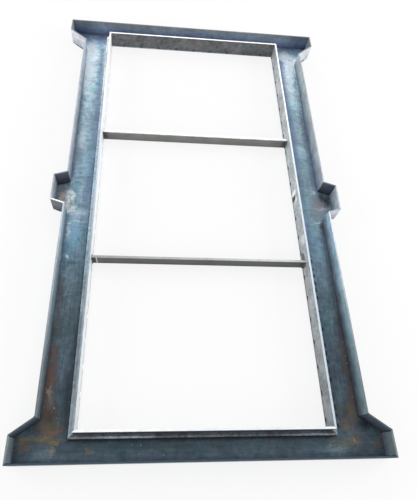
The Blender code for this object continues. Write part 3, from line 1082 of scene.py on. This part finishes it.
class Skin:
    """Vertices and faces that are collected for one new piece."""

    def __init__(self) -> None:
        """Starts empty."""
        self._points: list[np.ndarray] = []
        self._faces: list[np.ndarray] = []
        self._count = 0

    def add_rings(self, rings: np.ndarray) -> None:
        """Adds a closed body that is skinned over a stack of closed rings.

        The surface P(u, v) steps from ring to ring with u and round each ring with v. Each
        end ring is closed by a fan to its middle. Where the body's signed volume, a sixth of
        the sum of a . (b x c) over its triangles, comes out below 0, all faces are turned.

        Args:
            rings: Points of shape (stations, around, 3).
        """
        stations, around = rings.shape[:2]
        index = np.arange(stations * around).reshape(stations, around)
        beside = np.roll(index, -1, axis=1)
        low, high = index[:-1], index[1:]
        low_beside, high_beside = beside[:-1], beside[1:]
        first = np.stack([low, low_beside, high_beside], axis=-1).reshape(-1, 3)
        second = np.stack([low, high_beside, high], axis=-1).reshape(-1, 3)
        start, end = stations * around, stations * around + 1
        start_fan = np.stack([np.full(around, start), beside[0], index[0]], axis=-1)
        end_fan = np.stack([np.full(around, end), index[-1], beside[-1]], axis=-1)
        faces = np.concatenate([first, second, start_fan, end_fan])
        middles = rings[[0, -1]].mean(axis=1)
        points = np.concatenate([rings.reshape(-1, 3), middles])
        centred = points - points.mean(axis=0)
        a, b, c = centred[faces[:, 0]], centred[faces[:, 1]], centred[faces[:, 2]]
        if np.einsum("ij,ij->", a, np.cross(b, c)) < 0:
            faces = faces[:, ::-1]
        self._points.append(points)
        self._faces.append(faces + self._count)
        self._count += len(points)

    def piece(self, name: str, material: bpy.types.Material, slot: str) -> bpy.types.Object:
        """Makes one object of what was collected, and lets it ride on the mould.

        Args:
            name: The piece's name.
            material: Its material.
            slot: Not used.

        Returns:
            The new object.
        """
        mesh = bpy.data.meshes.new(name)
        points = np.concatenate(self._points)
        faces = np.concatenate(self._faces)
        mesh.from_pydata(points.tolist(), [], faces.tolist())
        mesh.polygons.foreach_set("use_smooth", np.ones(len(faces), dtype=bool))
        mesh.materials.append(material)
        mesh.update()
        made = bpy.data.objects.new(name, mesh)
        bpy.context.scene.collection.objects.link(made)
        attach(made, BODY)
        log.info("%s: %d faces", name, len(faces))
        return made


@dataclass(frozen=True)
class Bead:
    """A weld bead with a half-oval crown and overlapping ripples."""

    half_width: float
    height: float
    sink: float = 0.45
    ripple: float = 0.10
    pitch: float = 0.0034
    around: int = 12
    steps: int = 3

    def lay(self, skin: Skin, start: np.ndarray, end: np.ndarray, up: np.ndarray, seed: int) -> None:
        """Lays the bead along a straight joint.

        At distance s along the joint and angle a round the section, the point is
        s * along + w * cos(a) * across + h * sin(a) * up, with h cut to its sink share below
        the surface. w and h swell with two slow sine waves, h also with |sin| of the
        distance over the pitch, shifted back towards the edges so that each ripple is a
        crescent, and both fall to nothing at the ends as a quarter circle does.

        Args:
            skin: What the bead is added to.
            start: First end of the joint.
            end: Second end of the joint.
            up: Direction that the crown faces.
            seed: Fixes the slow waves.
        """
        span = end - start
        length = float(np.linalg.norm(span))
        along = span / length
        across = np.cross(up, along)
        across = across / np.linalg.norm(across)
        stations = max(8, int(length / self.pitch * self.steps))
        s = np.linspace(0.0, 1.0, stations)[:, None] * length
        a = np.linspace(0.0, 2 * math.pi, self.around, endpoint=False)[None, :]
        phase = np.random.default_rng(seed).uniform(0, 2 * math.pi, 3)
        slow = 1 + 0.07 * np.sin(s / 0.0061 + phase[0]) + 0.05 * np.sin(s / 0.0023 + phase[1])
        from_end = np.clip(np.minimum(s, length - s) / (self.half_width * 1.1), 0.03, 1.0)
        taper = np.sqrt(1 - (1 - from_end) ** 2)
        crescent = np.abs(np.sin(math.pi * (s / self.pitch + 0.55 * np.cos(a) ** 2) + phase[2]))
        rise = np.sin(a)
        crown = np.where(rise > 0, rise * (1 + self.ripple * (crescent - 0.6)), rise * self.sink)
        width = self.half_width * slow * taper * np.cos(a)
        lift = self.height * slow * taper * crown
        rings = start + s[..., None] * along + width[..., None] * across + lift[..., None] * up
        skin.add_rings(rings)


def vector(x: float, y: float, z: float) -> np.ndarray:
    """Three numbers as an array."""
    return np.array([x, y, z], dtype=float)


def unit(along: np.ndarray) -> np.ndarray:
    """The direction with a length of 1."""
    return along / np.linalg.norm(along)


def dress_node(name: str, material: bpy.types.Material) -> None:
    """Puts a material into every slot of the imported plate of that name."""
    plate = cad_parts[name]
    if not plate.material_slots:
        plate.data.materials.append(material)
    for slot in plate.material_slots:
        slot.link = "OBJECT"
        slot.material = material
    log.info("%s: %s", name, material.name)


def dress_pair(stems: tuple[str, ...], material: bpy.types.Material) -> None:
    """Puts a material on the left and the right plate of each stem."""
    for stem in stems:
        for side in SIDES:
            dress_node(f"{stem}_{side}", material)


@dataclass
class ChannelFloor:
    """The floor plates of the channel, their butt seams and the cement left on them."""

    rebate_foot_x: float = 0.4716
    seam_z: float = FLOOR_TOP - 0.0002
    seam_ys: tuple[float, ...] = (0.924, 0.102, -0.117, -0.922)
    end_seams: tuple[tuple[float, float], ...] = ((1.0075, 1.0605), (-1.0605, -0.9915))
    seam_bead: Bead = Bead(half_width=0.0036, height=0.0009, sink=0.8, ripple=0.25)
    splashes: tuple[tuple[float, float, float], ...] = (
        (-0.567, 0.002, 0.0085), (-0.578, -0.019, 0.0045), (-0.570, -0.073, 0.0060),
        (-0.549, -0.072, 0.0055), (-0.552, -0.296, 0.0042), (-0.531, -0.887, 0.0028),
        (-0.518, -0.920, 0.0026), (0.555, 0.069, 0.0060), (-0.255, -1.009, 0.0017),
        (-0.225, -1.010, 0.0018), (-0.232, -1.037, 0.0018), (-0.145, -1.042, 0.0017),
    )
    crumbs: int = 60
    clear_of_lug: float = 0.10

    def dress(self, finish: Finish) -> bpy.types.Material:
        """Gives every floor plate the floor's finish, and returns its material."""
        material = finish.material()
        dress_node("head_floor", material)
        dress_node("sill_floor", material)
        legs = ("leg_floor_upper", "leg_floor_lower", "lug_floor")
        dress_pair(("head_corner_floor", "sill_corner_floor", *legs), material)
        return material

    def build(self, scale: bpy.types.Material, cement: bpy.types.Material) -> None:
        """Builds the ground seams between the plates, and the splashes.

        Args:
            scale: Material of the seams, which is the floor's own.
            cement: Material of the splashes.
        """
        joints = []
        for side in (-1, 1):
            near, far = side * self.rebate_foot_x, side * (LEG_X - OUTER_PLATE)
            joints += [((near, y), (far, y)) for y in self.seam_ys]
            x = side * OPENING_X
            joints += [((x, low), (x, high)) for low, high in self.end_seams]
        seams = Skin()
        for seed, (start, end) in enumerate(joints, 1):
            ends = vector(*start, self.seam_z), vector(*end, self.seam_z)
            self.seam_bead.lay(seams, *ends, vector(0, 0, 1), seed)
        seams.piece("floor_seam_welds", scale, "floor_plate")
        self._splash(cement)

    def _splash(self, cement: bpy.types.Material) -> None:
        """Builds the cement splashes and crumbs.

        A splash is a low mound on a polar grid: at share r of its radius and angle a its
        height is (1 - r^2)^0.7 of a quarter of its radius, and its rim swings in and out with
        three sine waves round it. Its lowest ring is sunk a little into the plate.

        Args:
            cement: Their material.
        """
        skin = Skin()
        rng = np.random.default_rng(11)
        count = self.crumbs
        crumbs = np.stack([
            rng.choice([-1.0, 1.0], count) * rng.choice([0.476, 0.567], count, p=[0.35, 0.65]),
            rng.uniform(-0.95, 0.95, count),
            rng.uniform(0.0008, 0.0017, count),
        ], axis=1)
        crumbs = crumbs[np.abs(crumbs[:, 1] - LUG_MIDDLE_Y) > self.clear_of_lug]
        a = np.linspace(0, 2 * math.pi, 18, endpoint=False)[None, :]
        share = np.array([1.0, 1.0, 0.8, 0.55, 0.28, 0.06])[:, None]
        sunk = np.array([-0.25, 0.0, 0.0, 0.0, 0.0, 0.0])[:, None]
        for x, y, radius in np.concatenate([np.array(self.splashes), crumbs]):
            phase = rng.uniform(0, 2 * math.pi, 3)
            swing = 0.22 * np.sin(2 * a + phase[0]) + 0.14 * np.sin(3 * a + phase[1])
            reach = radius * share * (1 + swing + 0.08 * np.sin(5 * a + phase[2]))
            crown = np.clip(1 - share ** 2, 0, 1) ** 0.7 * (1 + 0.12 * np.sin(4 * a + phase[1]))
            z = FLOOR_TOP + radius * 0.24 * (crown + sunk)
            skin.add_rings(np.stack([x + reach * np.cos(a), y + reach * np.sin(a), z], axis=-1))
        skin.piece("cement_splashes", cement, "floor_plate")


@dataclass
class OuterWalls:
    """The tall outer ring: walls, horns and lug pockets, with their seams."""

    corners: tuple[tuple[float, float], ...] = (
        (0.655, HALF_LENGTH), (0.655, 0.988), (LEG_X, 0.924), (LEG_X, 0.074), (0.633, 0.056),
        (0.633, -0.071), (LEG_X, -0.089), (LEG_X, -0.922), (0.655, -0.977), (0.655, -HALF_LENGTH),
    )
    foot_z: float = 0.0048
    rim_z: float = 0.0841
    inside_bead: Bead = Bead(half_width=0.0030, height=0.0024, sink=0.5)
    outside_bead: Bead = Bead(
        half_width=0.0010, height=0.00115, sink=0.5, ripple=0.06, pitch=0.0028, around=10
    )
    outside_setback: float = 0.0017
    proud_bead: Bead = Bead(half_width=0.0040, height=0.0024, sink=0.25)
    flush_bead: Bead = Bead(half_width=0.0015, height=0.00072, sink=0.5, ripple=0.06, around=10)
    stitch_length: float = 0.055
    stitch_pitch: float = 0.150
    stitch_z: float = 0.0052

    def dress(self) -> None:
        """Gives each plate the finish that its place has."""
        # Plates whose channel side faces the sill get dark tones: painted shade, as little light comes
        # from the sill.
        shaded = {
            "facing": Facing.TO_HEAD,
            "foot": tone(44, 46, 56),
            "low": tone(66, 70, 82),
            "high": tone(88, 93, 106),
            "rim": tone(100, 106, 118),
            **even(1.0),
        }
        slate = {
            "foot": tone(116, 122, 158),
            "low": tone(136, 150, 182),
            "high": tone(160, 180, 200),
            "rim": tone(158, 168, 176),
            "edge": tone(120, 120, 118),
            **even(1.0),
        }
        pale = {"outer_foot": tone(182, 188, 196), "outer_rim": tone(212, 217, 223)}
        lengthwise = {"facing": Facing.LENGTHWISE}
        dark = {"edge": tone(72, 88, 98), "rim": tone(72, 88, 98)}
        head = OuterWallFinish("head_wall_scale", end_level=0.54, **lengthwise, **slate)
        sill = OuterWallFinish("sill_wall_scale", **lengthwise, **dark, **even(1.0))
        dress_node("head_outer_wall", head.material())
        dress_node("sill_outer_wall", sill.material())
        pairs = {
            "lug_side_upper": OuterWallFinish("lug_upper_shaded_scale", edge=tone(112, 120, 132), **shaded),
            "horn_slant_sill": OuterWallFinish("sill_slant_shaded_scale", edge=tone(92, 100, 111), **shaded),
            "horn_end_sill": OuterWallFinish("sill_end_scale", edge=tone(180, 194, 202), **even(0.51)),
            "horn_slant_head": OuterWallFinish(
                "head_slant_scale", facing=Facing.TO_SILL, **pale, **slate
            ),
            "horn_end_head": OuterWallFinish("head_end_scale", **slate),
        }
        for stem, finish in pairs.items():
            dress_pair((stem,), finish.material())

        legs = {
            "left": {"haze_and_reflection": 0.62, "rim_light_lift": 0.35},
            "right": {"haze_and_reflection": 0.06, "rim_light_lift": 1.0, "pale_foot_y": 0.30, "edge_highlight": 0.40},
        }
        tip_levels = {"left": 0.72, "right": 0.98}
        lug_lowers = {
            "left": (tone(86, 92, 100), tone(114, 120, 128), tone(236, 240, 244)),
            "right": (tone(176, 182, 188), tone(206, 211, 216), tone(150, 158, 166)),
        }
        for side in SIDES:
            leg = OuterWallFinish("side_wall_" + side, **legs[side]).material()
            dress_node("leg_outer_wall_upper_" + side, leg)
            dress_node("leg_outer_wall_lower_" + side, leg)
            level = even(tip_levels[side])
            tip = OuterWallFinish("lug_tip_scale_" + side, edge=tone(190, 197, 204), **level)
            dress_node("lug_tip_" + side, tip.material())
            foot, rim, edge = lug_lowers[side]
            outside = {"facing": Facing.TO_SILL, "outer_foot": foot, "outer_rim": rim, "edge": edge}
            lower = OuterWallFinish("lug_lower_" + side, **outside, **even(1.0))
            dress_node("lug_side_lower_" + side, lower.material())

    def build(self, weld: bpy.types.Material) -> None:
        """Builds the upright seams at the corners and the stitches along the outer foot.

        Args:
            weld: Material of the beads.
        """
        right = np.array(self.corners)
        left = (right * np.array([-1.0, 1.0]))[::-1]
        ring = np.concatenate([right, left])
        after_ring = np.roll(ring, -1, axis=0)
        inside, outside, stitches = Skin(), Skin(), Skin()
        for i, (here, after) in enumerate(zip(ring, after_ring)):
            to_before = unit(ring[i - 1] - here)
            to_after = unit(after - here)
            bisector = unit(to_before + to_after)
            into_channel = to_before @ self._inward(to_after) > 0
            half = math.asin(min(1.0, np.linalg.norm(to_before + to_after) / 2))
            spread = OUTER_PLATE / math.cos(half)
            inner = here + (bisector if into_channel else -bisector) * spread
            hollow, proud = (inside, outside) if into_channel else (outside, inside)
            hollow_foot, proud_foot = (inner, here) if into_channel else (here, inner)
            proud_foot = proud_foot + bisector * self.outside_setback
            self._upright(self.inside_bead, hollow, hollow_foot, bisector, i)
            self._upright(self.outside_bead, proud, proud_foot, -bisector, i + 50)
        inside.piece("corner_seams_inside", weld, "outer_wall")
        outside.piece("corner_seams_outside", weld, "outer_wall")
        for i, (here, after) in enumerate(zip(ring, after_ring)):
            self._stitch(stitches, here, after, 100 + 10 * i)
        stitches.piece("outer_foot_stitches", weld, "outer_wall")

    @staticmethod
    def _inward(along: np.ndarray) -> np.ndarray:
        """The level direction into the mould: the outline runs clockwise, so it is on the right."""
        return np.array([along[1], -along[0]])

    def _upright(
        self, bead: Bead, skin: Skin, place: np.ndarray, facing: np.ndarray, seed: int
    ) -> None:
        """Lays a bead up a corner.

        Args:
            bead: The bead.
            skin: What it is added to.
            place: Where the corner stands.
            facing: Level direction that the crown faces.
            seed: Fixes its waves.
        """
        ends = vector(*place, self.foot_z), vector(*place, self.rim_z)
        bead.lay(skin, *ends, vector(*facing, 0.0), seed)

    def _stitch(self, skin: Skin, start: np.ndarray, end: np.ndarray, seed: int) -> None:
        """Lays stitches along a wall's outer foot, flush where the wall is at the part's limit.

        Args:
            skin: What they are added to.
            start: First corner of the wall.
            end: Second corner of the wall.
            seed: Fixes their waves.
        """
        span = end - start
        length = float(np.linalg.norm(span))
        along = span / length
        out = -self._inward(along)
        at_side = abs(out[0]) > 0.999 and abs(start[0]) > 0.65
        at_limit = at_side or abs(out[1]) > 0.999
        bead, depth = (self.flush_bead, 0.0008) if at_limit else (self.proud_bead, 0.0001)
        number = max(1, round(length / self.stitch_pitch))
        stitch = min(self.stitch_length, length * 0.6)
        for k in range(number):
            middle = (k + 0.5) / number * length
            a = start + along * (middle - stitch / 2) - out * depth
            b = start + along * (middle + stitch / 2) - out * depth
            ends = vector(*a, self.stitch_z), vector(*b, self.stitch_z)
            bead.lay(skin, *ends, vector(*out, 0.0), seed + k)


@dataclass
class InnerWalls:
    """The inner ring round the opening, with its stitch welds and the plugged place."""

    head_y: float = 0.981
    sill_y: float = -0.965
    joint_z: float = 0.0105
    first_y: float = -0.938
    last_y: float = 0.960
    shifts_mm: tuple[float, ...] = (
        0, 1, 1, 4, 1, 0, -4, 9, -3, -1, 14, 0, -3, -4, 7, -1, -3, -1, 3, 14, 0
    )
    end_reach: float = 0.38
    end_count: int = 9
    stitch: Bead = Bead(half_width=0.0064, height=0.0030, sink=0.3)
    stitch_length: float = 0.018
    plug: tuple[float, float] = (0.013, 0.016)
    plug_radius: float = 0.0125
    clear_of_plug: float = 0.02

    def dress(self) -> None:
        """Gives each wall the finish that its place has."""
        spots = (
            Spot(0.036, 0.024, 0.018, tone(236, 238, 236)),
            Spot(0.036, 0.044, 0.018, tone(236, 238, 236)),
            Spot(0.012, 0.012, 0.016, tone(20, 21, 23)),
            Spot(0.012, 0.030, 0.015, tone(26, 27, 29)),
            Spot(-0.006, 0.050, 0.012, tone(226, 228, 226)),
            Spot(-0.214, 0.058, 0.026, tone(208, 212, 212)),
            Spot(-0.290, 0.030, 0.022, tone(96, 94, 90)),
        )
        bright = stops((0.0, 190, 203, 214), (0.3, 204, 216, 227), (0.85, 248, 250, 253))
        right = InnerWallFinish("inner_wall_right", edges=bright, spots=spots, sill_light_level=0.52)
        # The left wall's face, lit from the right, is painted near white, and the right wall's face
        # grey: painted light.
        left = InnerWallFinish(
            "inner_wall_left",
            face=tone(248, 252, 254),
            shade=tone(226, 233, 238),
            dirt=tone(212, 216, 220),
            channel_side_shade=tone(104, 100, 110),
            sill_light_level=0.84,
            tints=0.3,
            rust=0.10,
        )
        sill = InnerWallFinish(
            "inner_wall_sill",
            edges=stops((0.36, 250, 251, 252), (0.50, 240, 243, 245), (0.64, 234, 239, 243)),
            edge_axis="X",
            channel_side_shade=tone(84, 96, 116),
            sill_light_level=1.0,
        )
        # The head wall's face looks towards the sill and is painted dark: painted shade.
        head = InnerWallFinish(
            "inner_wall_head",
            edges=stops((0.0, 254, 251, 254), (1.0, 254, 251, 254)),
            face=tone(112, 114, 116),
            shade=tone(76, 78, 82),
            dirt=tone(58, 58, 60),
            contrast=0.9,
            rust=0.30,
        )
        dress_node("leg_inner_wall_left", left.material())
        dress_node("leg_inner_wall_right", right.material())
        dress_node("sill_inner_wall", sill.material())
        dress_node("head_inner_wall", head.material())

    def build(self, slag: bpy.types.Material, pale: bpy.types.Material) -> None:
        """Builds the stitches round the opening's foot and the plug.

        Args:
            slag: Material of the beads on the right and at the ends.
            pale: Material of the beads on the left.
        """
        evenly = np.linspace(self.first_y, self.last_y, len(self.shifts_mm))
        places = evenly + np.array(self.shifts_mm) / 1000
        half = vector(0, self.stitch_length / 2, 0)
        for side, word, material in ((-1, "left", pale), (1, "right", slag)):
            skin = Skin()
            for k, y in enumerate(places):
                if side > 0 and abs(y - self.plug[0]) < self.clear_of_plug:
                    continue
                at = vector(side * OPENING_X, y, self.joint_z)
                self.stitch.lay(skin, at - half, at + half, vector(-side, 0, 0), 300 + k)
            if side > 0:
                self._plug(skin)
            skin.piece("opening_stitches_" + word, material, "inner_wall")
        ends = Skin()
        half = vector(self.stitch_length / 2, 0, 0)
        for y, facing, seed in ((self.head_y, -1, 400), (self.sill_y, 1, 430)):
            for k, x in enumerate(np.linspace(-self.end_reach, self.end_reach, self.end_count)):
                at = vector(x, y, self.joint_z)
                self.stitch.lay(ends, at - half, at + half, vector(0, facing, 0), seed + k)
        ends.piece("opening_stitches_ends", slag, "inner_wall")

    def _plug(self, skin: Skin) -> None:
        """Adds the large round weld in the right wall, as a low dome with rings of ripples.

        At share r of its radius the dome is (1 - r^2)^0.6 of its height, less a groove that
        follows |sin| of the radius and the angle together, so that the ripples spiral.

        Args:
            skin: What it is added to.
        """
        y, z = self.plug
        a = np.linspace(0, 2 * math.pi, 28, endpoint=False)[None, :]
        share = np.array([1.0, 1.0, 0.93, 0.82, 0.7, 0.57, 0.44, 0.3, 0.16, 0.04])[:, None]
        sunk = np.array([-0.3] + [0.0] * 9)[:, None]
        ripple = 0.10 * np.abs(np.sin(share * 9 + a))
        rim = 1 + 0.08 * np.sin(2 * a + 0.7) + 0.06 * np.sin(3 * a + 2.0)
        height = 0.0034 * (np.clip(1 - share ** 2, 0, 1) ** 0.6 * (1 - ripple) + sunk)
        reach = self.plug_radius * share * rim
        x = OPENING_X - height
        skin.add_rings(np.stack([x, y + reach * np.cos(a), z + reach * np.sin(a)], axis=-1))


@dataclass
class RebateStrips:
    """The strips that cast the rebate, with tack welds behind their ledge."""

    ledge_z: float = 0.0403
    first_tack_y: float = -0.895
    tack_pitch: float = 0.234
    tacks: int = 8
    tack_length: float = 0.022
    tack: Bead = Bead(half_width=0.0034, height=0.0028, sink=0.5)

    def dress(self, legs: Finish, sill: Finish) -> None:
        """Gives the strips their finishes.

        Args:
            legs: Finish of the leg and head strips.
            sill: Finish of the sill's strip.
        """
        pale, dark = legs.material(), sill.material()
        dress_node("head_rebate_strip", pale)
        dress_pair(("leg_rebate_strip",), pale)
        dress_node("sill_rebate_strip", dark)

    def build(self, weld: bpy.types.Material) -> None:
        """Builds the tacks in the corner between ledge and wall.

        Args:
            weld: Their material.
        """
        skin = Skin()
        half = vector(0, self.tack_length / 2, 0)
        for side in (-1, 1):
            facing = vector(side, 0, 1) / math.sqrt(2)
            for k in range(self.tacks):
                y = self.first_tack_y + k * self.tack_pitch
                at = vector(side * INNER_WALL_X, y, self.ledge_z)
                self.tack.lay(skin, at - half, at + half, facing, 500 + k)
        skin.piece("rebate_ledge_tacks", weld, "rebate_strip")


@dataclass
class CrossBars:
    """The two flat bars on edge across the opening, with the welds at their ends."""

    foot_z: float = 0.0012
    top_z: float = 0.0535
    faces_y: tuple[tuple[str, float, float], ...] = (
        ("lower", -0.323, -0.313), ("upper", 0.331, 0.341),
    )
    left_bead: Bead = Bead(half_width=0.0075, height=0.0052, sink=0.5, ripple=0.08, pitch=0.004)
    right_bead: Bead = Bead(half_width=0.0135, height=0.0090, sink=0.5, ripple=0.08, pitch=0.004)

    def dress(self, finish: Finish) -> None:
        """Gives both bars their finish."""
        material = finish.material()
        dress_node("cross_bar_upper", material)
        dress_node("cross_bar_lower", material)

    def build(self, weld: bpy.types.Material) -> None:
        """Builds an upright fillet weld on each face at each end.

        Args:
            weld: Their material.
        """
        for word, near, far in self.faces_y:
            skin = Skin()
            for side, bead in ((-1, self.left_bead), (1, self.right_bead)):
                for y, facing in ((near, -1), (far, 1)):
                    start = vector(side * OPENING_X, y, self.foot_z)
                    end = vector(side * OPENING_X, y, self.top_z)
                    out = vector(-side, facing, 0) / math.sqrt(2)
                    bead.lay(skin, start, end, out, 600 + side + facing)
            skin.piece("cross_bar_welds_" + word, weld, "cross_bar")


@dataclass
class Studio:
    """Pale floor, plain world and four soft lamps."""

    reach: float = 9.0
    floor_z: float = -0.0006
    ambient: float = 0.54
    floor_glow: float = 0.80

    def build(self) -> None:
        """Builds the floor, the world and the lamps."""
        corners = ((-1, -1), (1, -1), (1, 1), (-1, 1))
        points = [(x * self.reach, y * self.reach, self.floor_z) for x, y in corners]
        mesh = bpy.data.meshes.new("studio_floor")
        mesh.from_pydata(points, [], [(0, 1, 2, 3)])
        floor = bpy.data.objects.new("studio_floor", mesh)
        bpy.context.scene.collection.objects.link(floor)
        mesh.materials.append(self._floor_material())
        self._world()
        for lamp in (
            ("head_window", (0.30, 3.6, 2.5), (0, 0.2, 0), (3.4, 2.2), 50.0, (0.97, 0.98, 1.0)),
            ("right_window", (3.8, 0.4, 1.5), (0, 0.1, 0), (2.8, 2.0), 85.0, (1.0, 0.99, 0.98)),
            ("left_window", (-3.8, 0.4, 1.5), (0, 0.1, 0), (2.8, 2.0), 70.0, (0.98, 0.99, 1.0)),
            ("sill_window", (-0.4, -3.8, 2.2), (0, -0.1, 0), (3.0, 2.0), 35.0, (1.0, 1.0, 1.0)),
        ):
            self._lamp(*lamp)
        log.info("studio built")

    @staticmethod
    def _seen(board: NodeBoard) -> Value:
        """Gives 1 for what the camera sees directly, in a gloss or through glass."""
        path = board.node("ShaderNodeLightPath")
        names = ("Is Camera Ray", "Is Glossy Ray", "Is Transmission Ray")
        return reduce(Value.at_least, (Value(board, path.outputs[name]) for name in names))

    def _floor_material(self) -> bpy.types.Material:
        """Makes the pale floor, which glows white to the camera and still takes shadow."""
        material = bpy.data.materials.new("pale_studio_floor")
        material.use_nodes = True
        board = NodeBoard(material.node_tree)
        matt = board.node("ShaderNodeBsdfDiffuse", None, {"Color": (0.92, 0.92, 0.92, 1.0)})
        glow = board.node("ShaderNodeEmission", None, {"Color": (1.0, 1.0, 1.0, 1.0), "Strength": 1.0})
        inputs = {
            0: self._seen(board) * self.floor_glow,
            1: Wire(board, matt.outputs[0]),
            2: Wire(board, glow.outputs[0]),
        }
        mixed = board.node("ShaderNodeMixShader", None, inputs)
        board.node("ShaderNodeOutputMaterial", None, {"Surface": Wire(board, mixed.outputs[0])})
        return material

    def _world(self) -> None:
        """Makes the plain world: white where it is seen, softer as a light."""
        world = bpy.data.worlds.new("plain_studio")
        bpy.context.scene.world = world
        world.use_nodes = True
        board = NodeBoard(world.node_tree)
        strength = self.ambient + self._seen(board) * (1.0 - self.ambient)
        inputs = {"Color": (1.0, 1.0, 1.0, 1.0), "Strength": strength}
        back = board.node("ShaderNodeBackground", None, inputs)
        board.node("ShaderNodeOutputWorld", None, {"Surface": Wire(board, back.outputs[0])})

    @staticmethod
    def _lamp(
        name: str, place: tuple, target: tuple, size: tuple, power: float, colour: tuple
    ) -> None:
        """Hangs a soft square lamp.

        Args:
            name: The lamp's name.
            place: Where it hangs.
            target: What it points at.
            size: Its width and height.
            power: Its power in watts.
            colour: Its linear colour.
        """
        light = bpy.data.lights.new(name, "AREA")
        light.shape = "RECTANGLE"
        light.size, light.size_y = size
        light.energy = power
        light.color = colour
        lamp = bpy.data.objects.new(name, light)
        lamp.location = place
        lamp.rotation_euler = (Vector(target) - Vector(place)).to_track_quat("-Z", "Y").to_euler()
        bpy.context.scene.collection.objects.link(lamp)


@dataclass
class PhotoCamera:
    """The camera that was fitted to the corners of the mould."""

    place: tuple[float, float, float] = (-0.2209, -1.0987, 1.7053)
    right: tuple[float, float, float] = (0.99482538, -0.02057167, 0.09949505)
    down: tuple[float, float, float] = (0.02803953, -0.88566343, -0.46348039)
    ahead: tuple[float, float, float] = (0.09765369, 0.46387185, -0.88050364)
    lens_mm: float = 32.12
    shift_x: float = 0.0338
    shift_y: float = -0.0212

    def build(self) -> None:
        """Sets up the camera and makes it the scene's."""
        data = bpy.data.cameras.new("photo_camera")
        data.sensor_width = 36.0
        data.lens = self.lens_mm
        data.shift_x, data.shift_y = self.shift_x, self.shift_y
        data.clip_start, data.clip_end = 0.05, 60.0
        camera = bpy.data.objects.new("photo_camera", data)
        columns = (Vector(self.right), -Vector(self.down), -Vector(self.ahead))
        turn = Matrix(columns).transposed().to_4x4()
        camera.matrix_world = Matrix.Translation(self.place) @ turn
        bpy.context.scene.collection.objects.link(camera)
        bpy.context.scene.camera = camera
        log.info("camera set")


def main() -> None:
    """Builds the scene: camera and studio, then each sub-assembly with its finishes."""
    logging.basicConfig(level=logging.INFO, format="%(name)s %(message)s")
    bpy.context.scene.view_settings.view_transform = "Standard"
    PhotoCamera().build()
    Studio().build()

    slag = WeldFinish("slag_dark_weld").material()
    tack = WeldFinish(
        "pale_tack_weld", crown=tone(206, 214, 220), hollow=tone(130, 138, 146), rust_share=0.2
    ).material()
    # The left stitches are near white like the lit face they sit on: lime and painted light.
    limed = WeldFinish(
        "limed_and_lit_weld",
        crown=tone(244, 247, 250),
        hollow=tone(220, 226, 231),
        rust_share=0.08,
        heat_share=0.0,
    ).material()
    cement = CementFinish("dried_cement").material()

    floor = ChannelFloor()
    scale = floor.dress(FloorFinish("floor_mill_scale"))
    floor.build(scale, cement)

    outer = OuterWalls()
    outer.dress()
    outer.build(slag)

    inner = InnerWalls()
    inner.dress()
    inner.build(slag, limed)

    sill_tones = stops(
        (0.05, 122, 122, 120), (0.16, 160, 166, 172), (0.28, 144, 148, 150), (0.41, 118, 119, 120),
        (0.56, 108, 113, 113), (0.71, 102, 104, 111), (0.85, 130, 138, 142), (0.93, 138, 146, 152),
    )
    # The sill strip's back and flank are painted very dark: painted shade, with dirt on the back.
    sill_strip = RebateFinish(
        "rebate_sill",
        tones=sill_tones,
        axis="X",
        half_length=0.4705,
        back=tone(76, 82, 88),
        flank=tone(30, 34, 42),
        flank_lime=0.0,
        contrast=1.0,
    )
    rebate = RebateStrips()
    rebate.dress(RebateFinish("rebate_leg"), sill_strip)
    rebate.build(tack)

    bars = CrossBars()
    bars.dress(CrossBarFinish("cross_bar_rolled"))
    bars.build(slag)


if __name__ == "__main__":
    main()
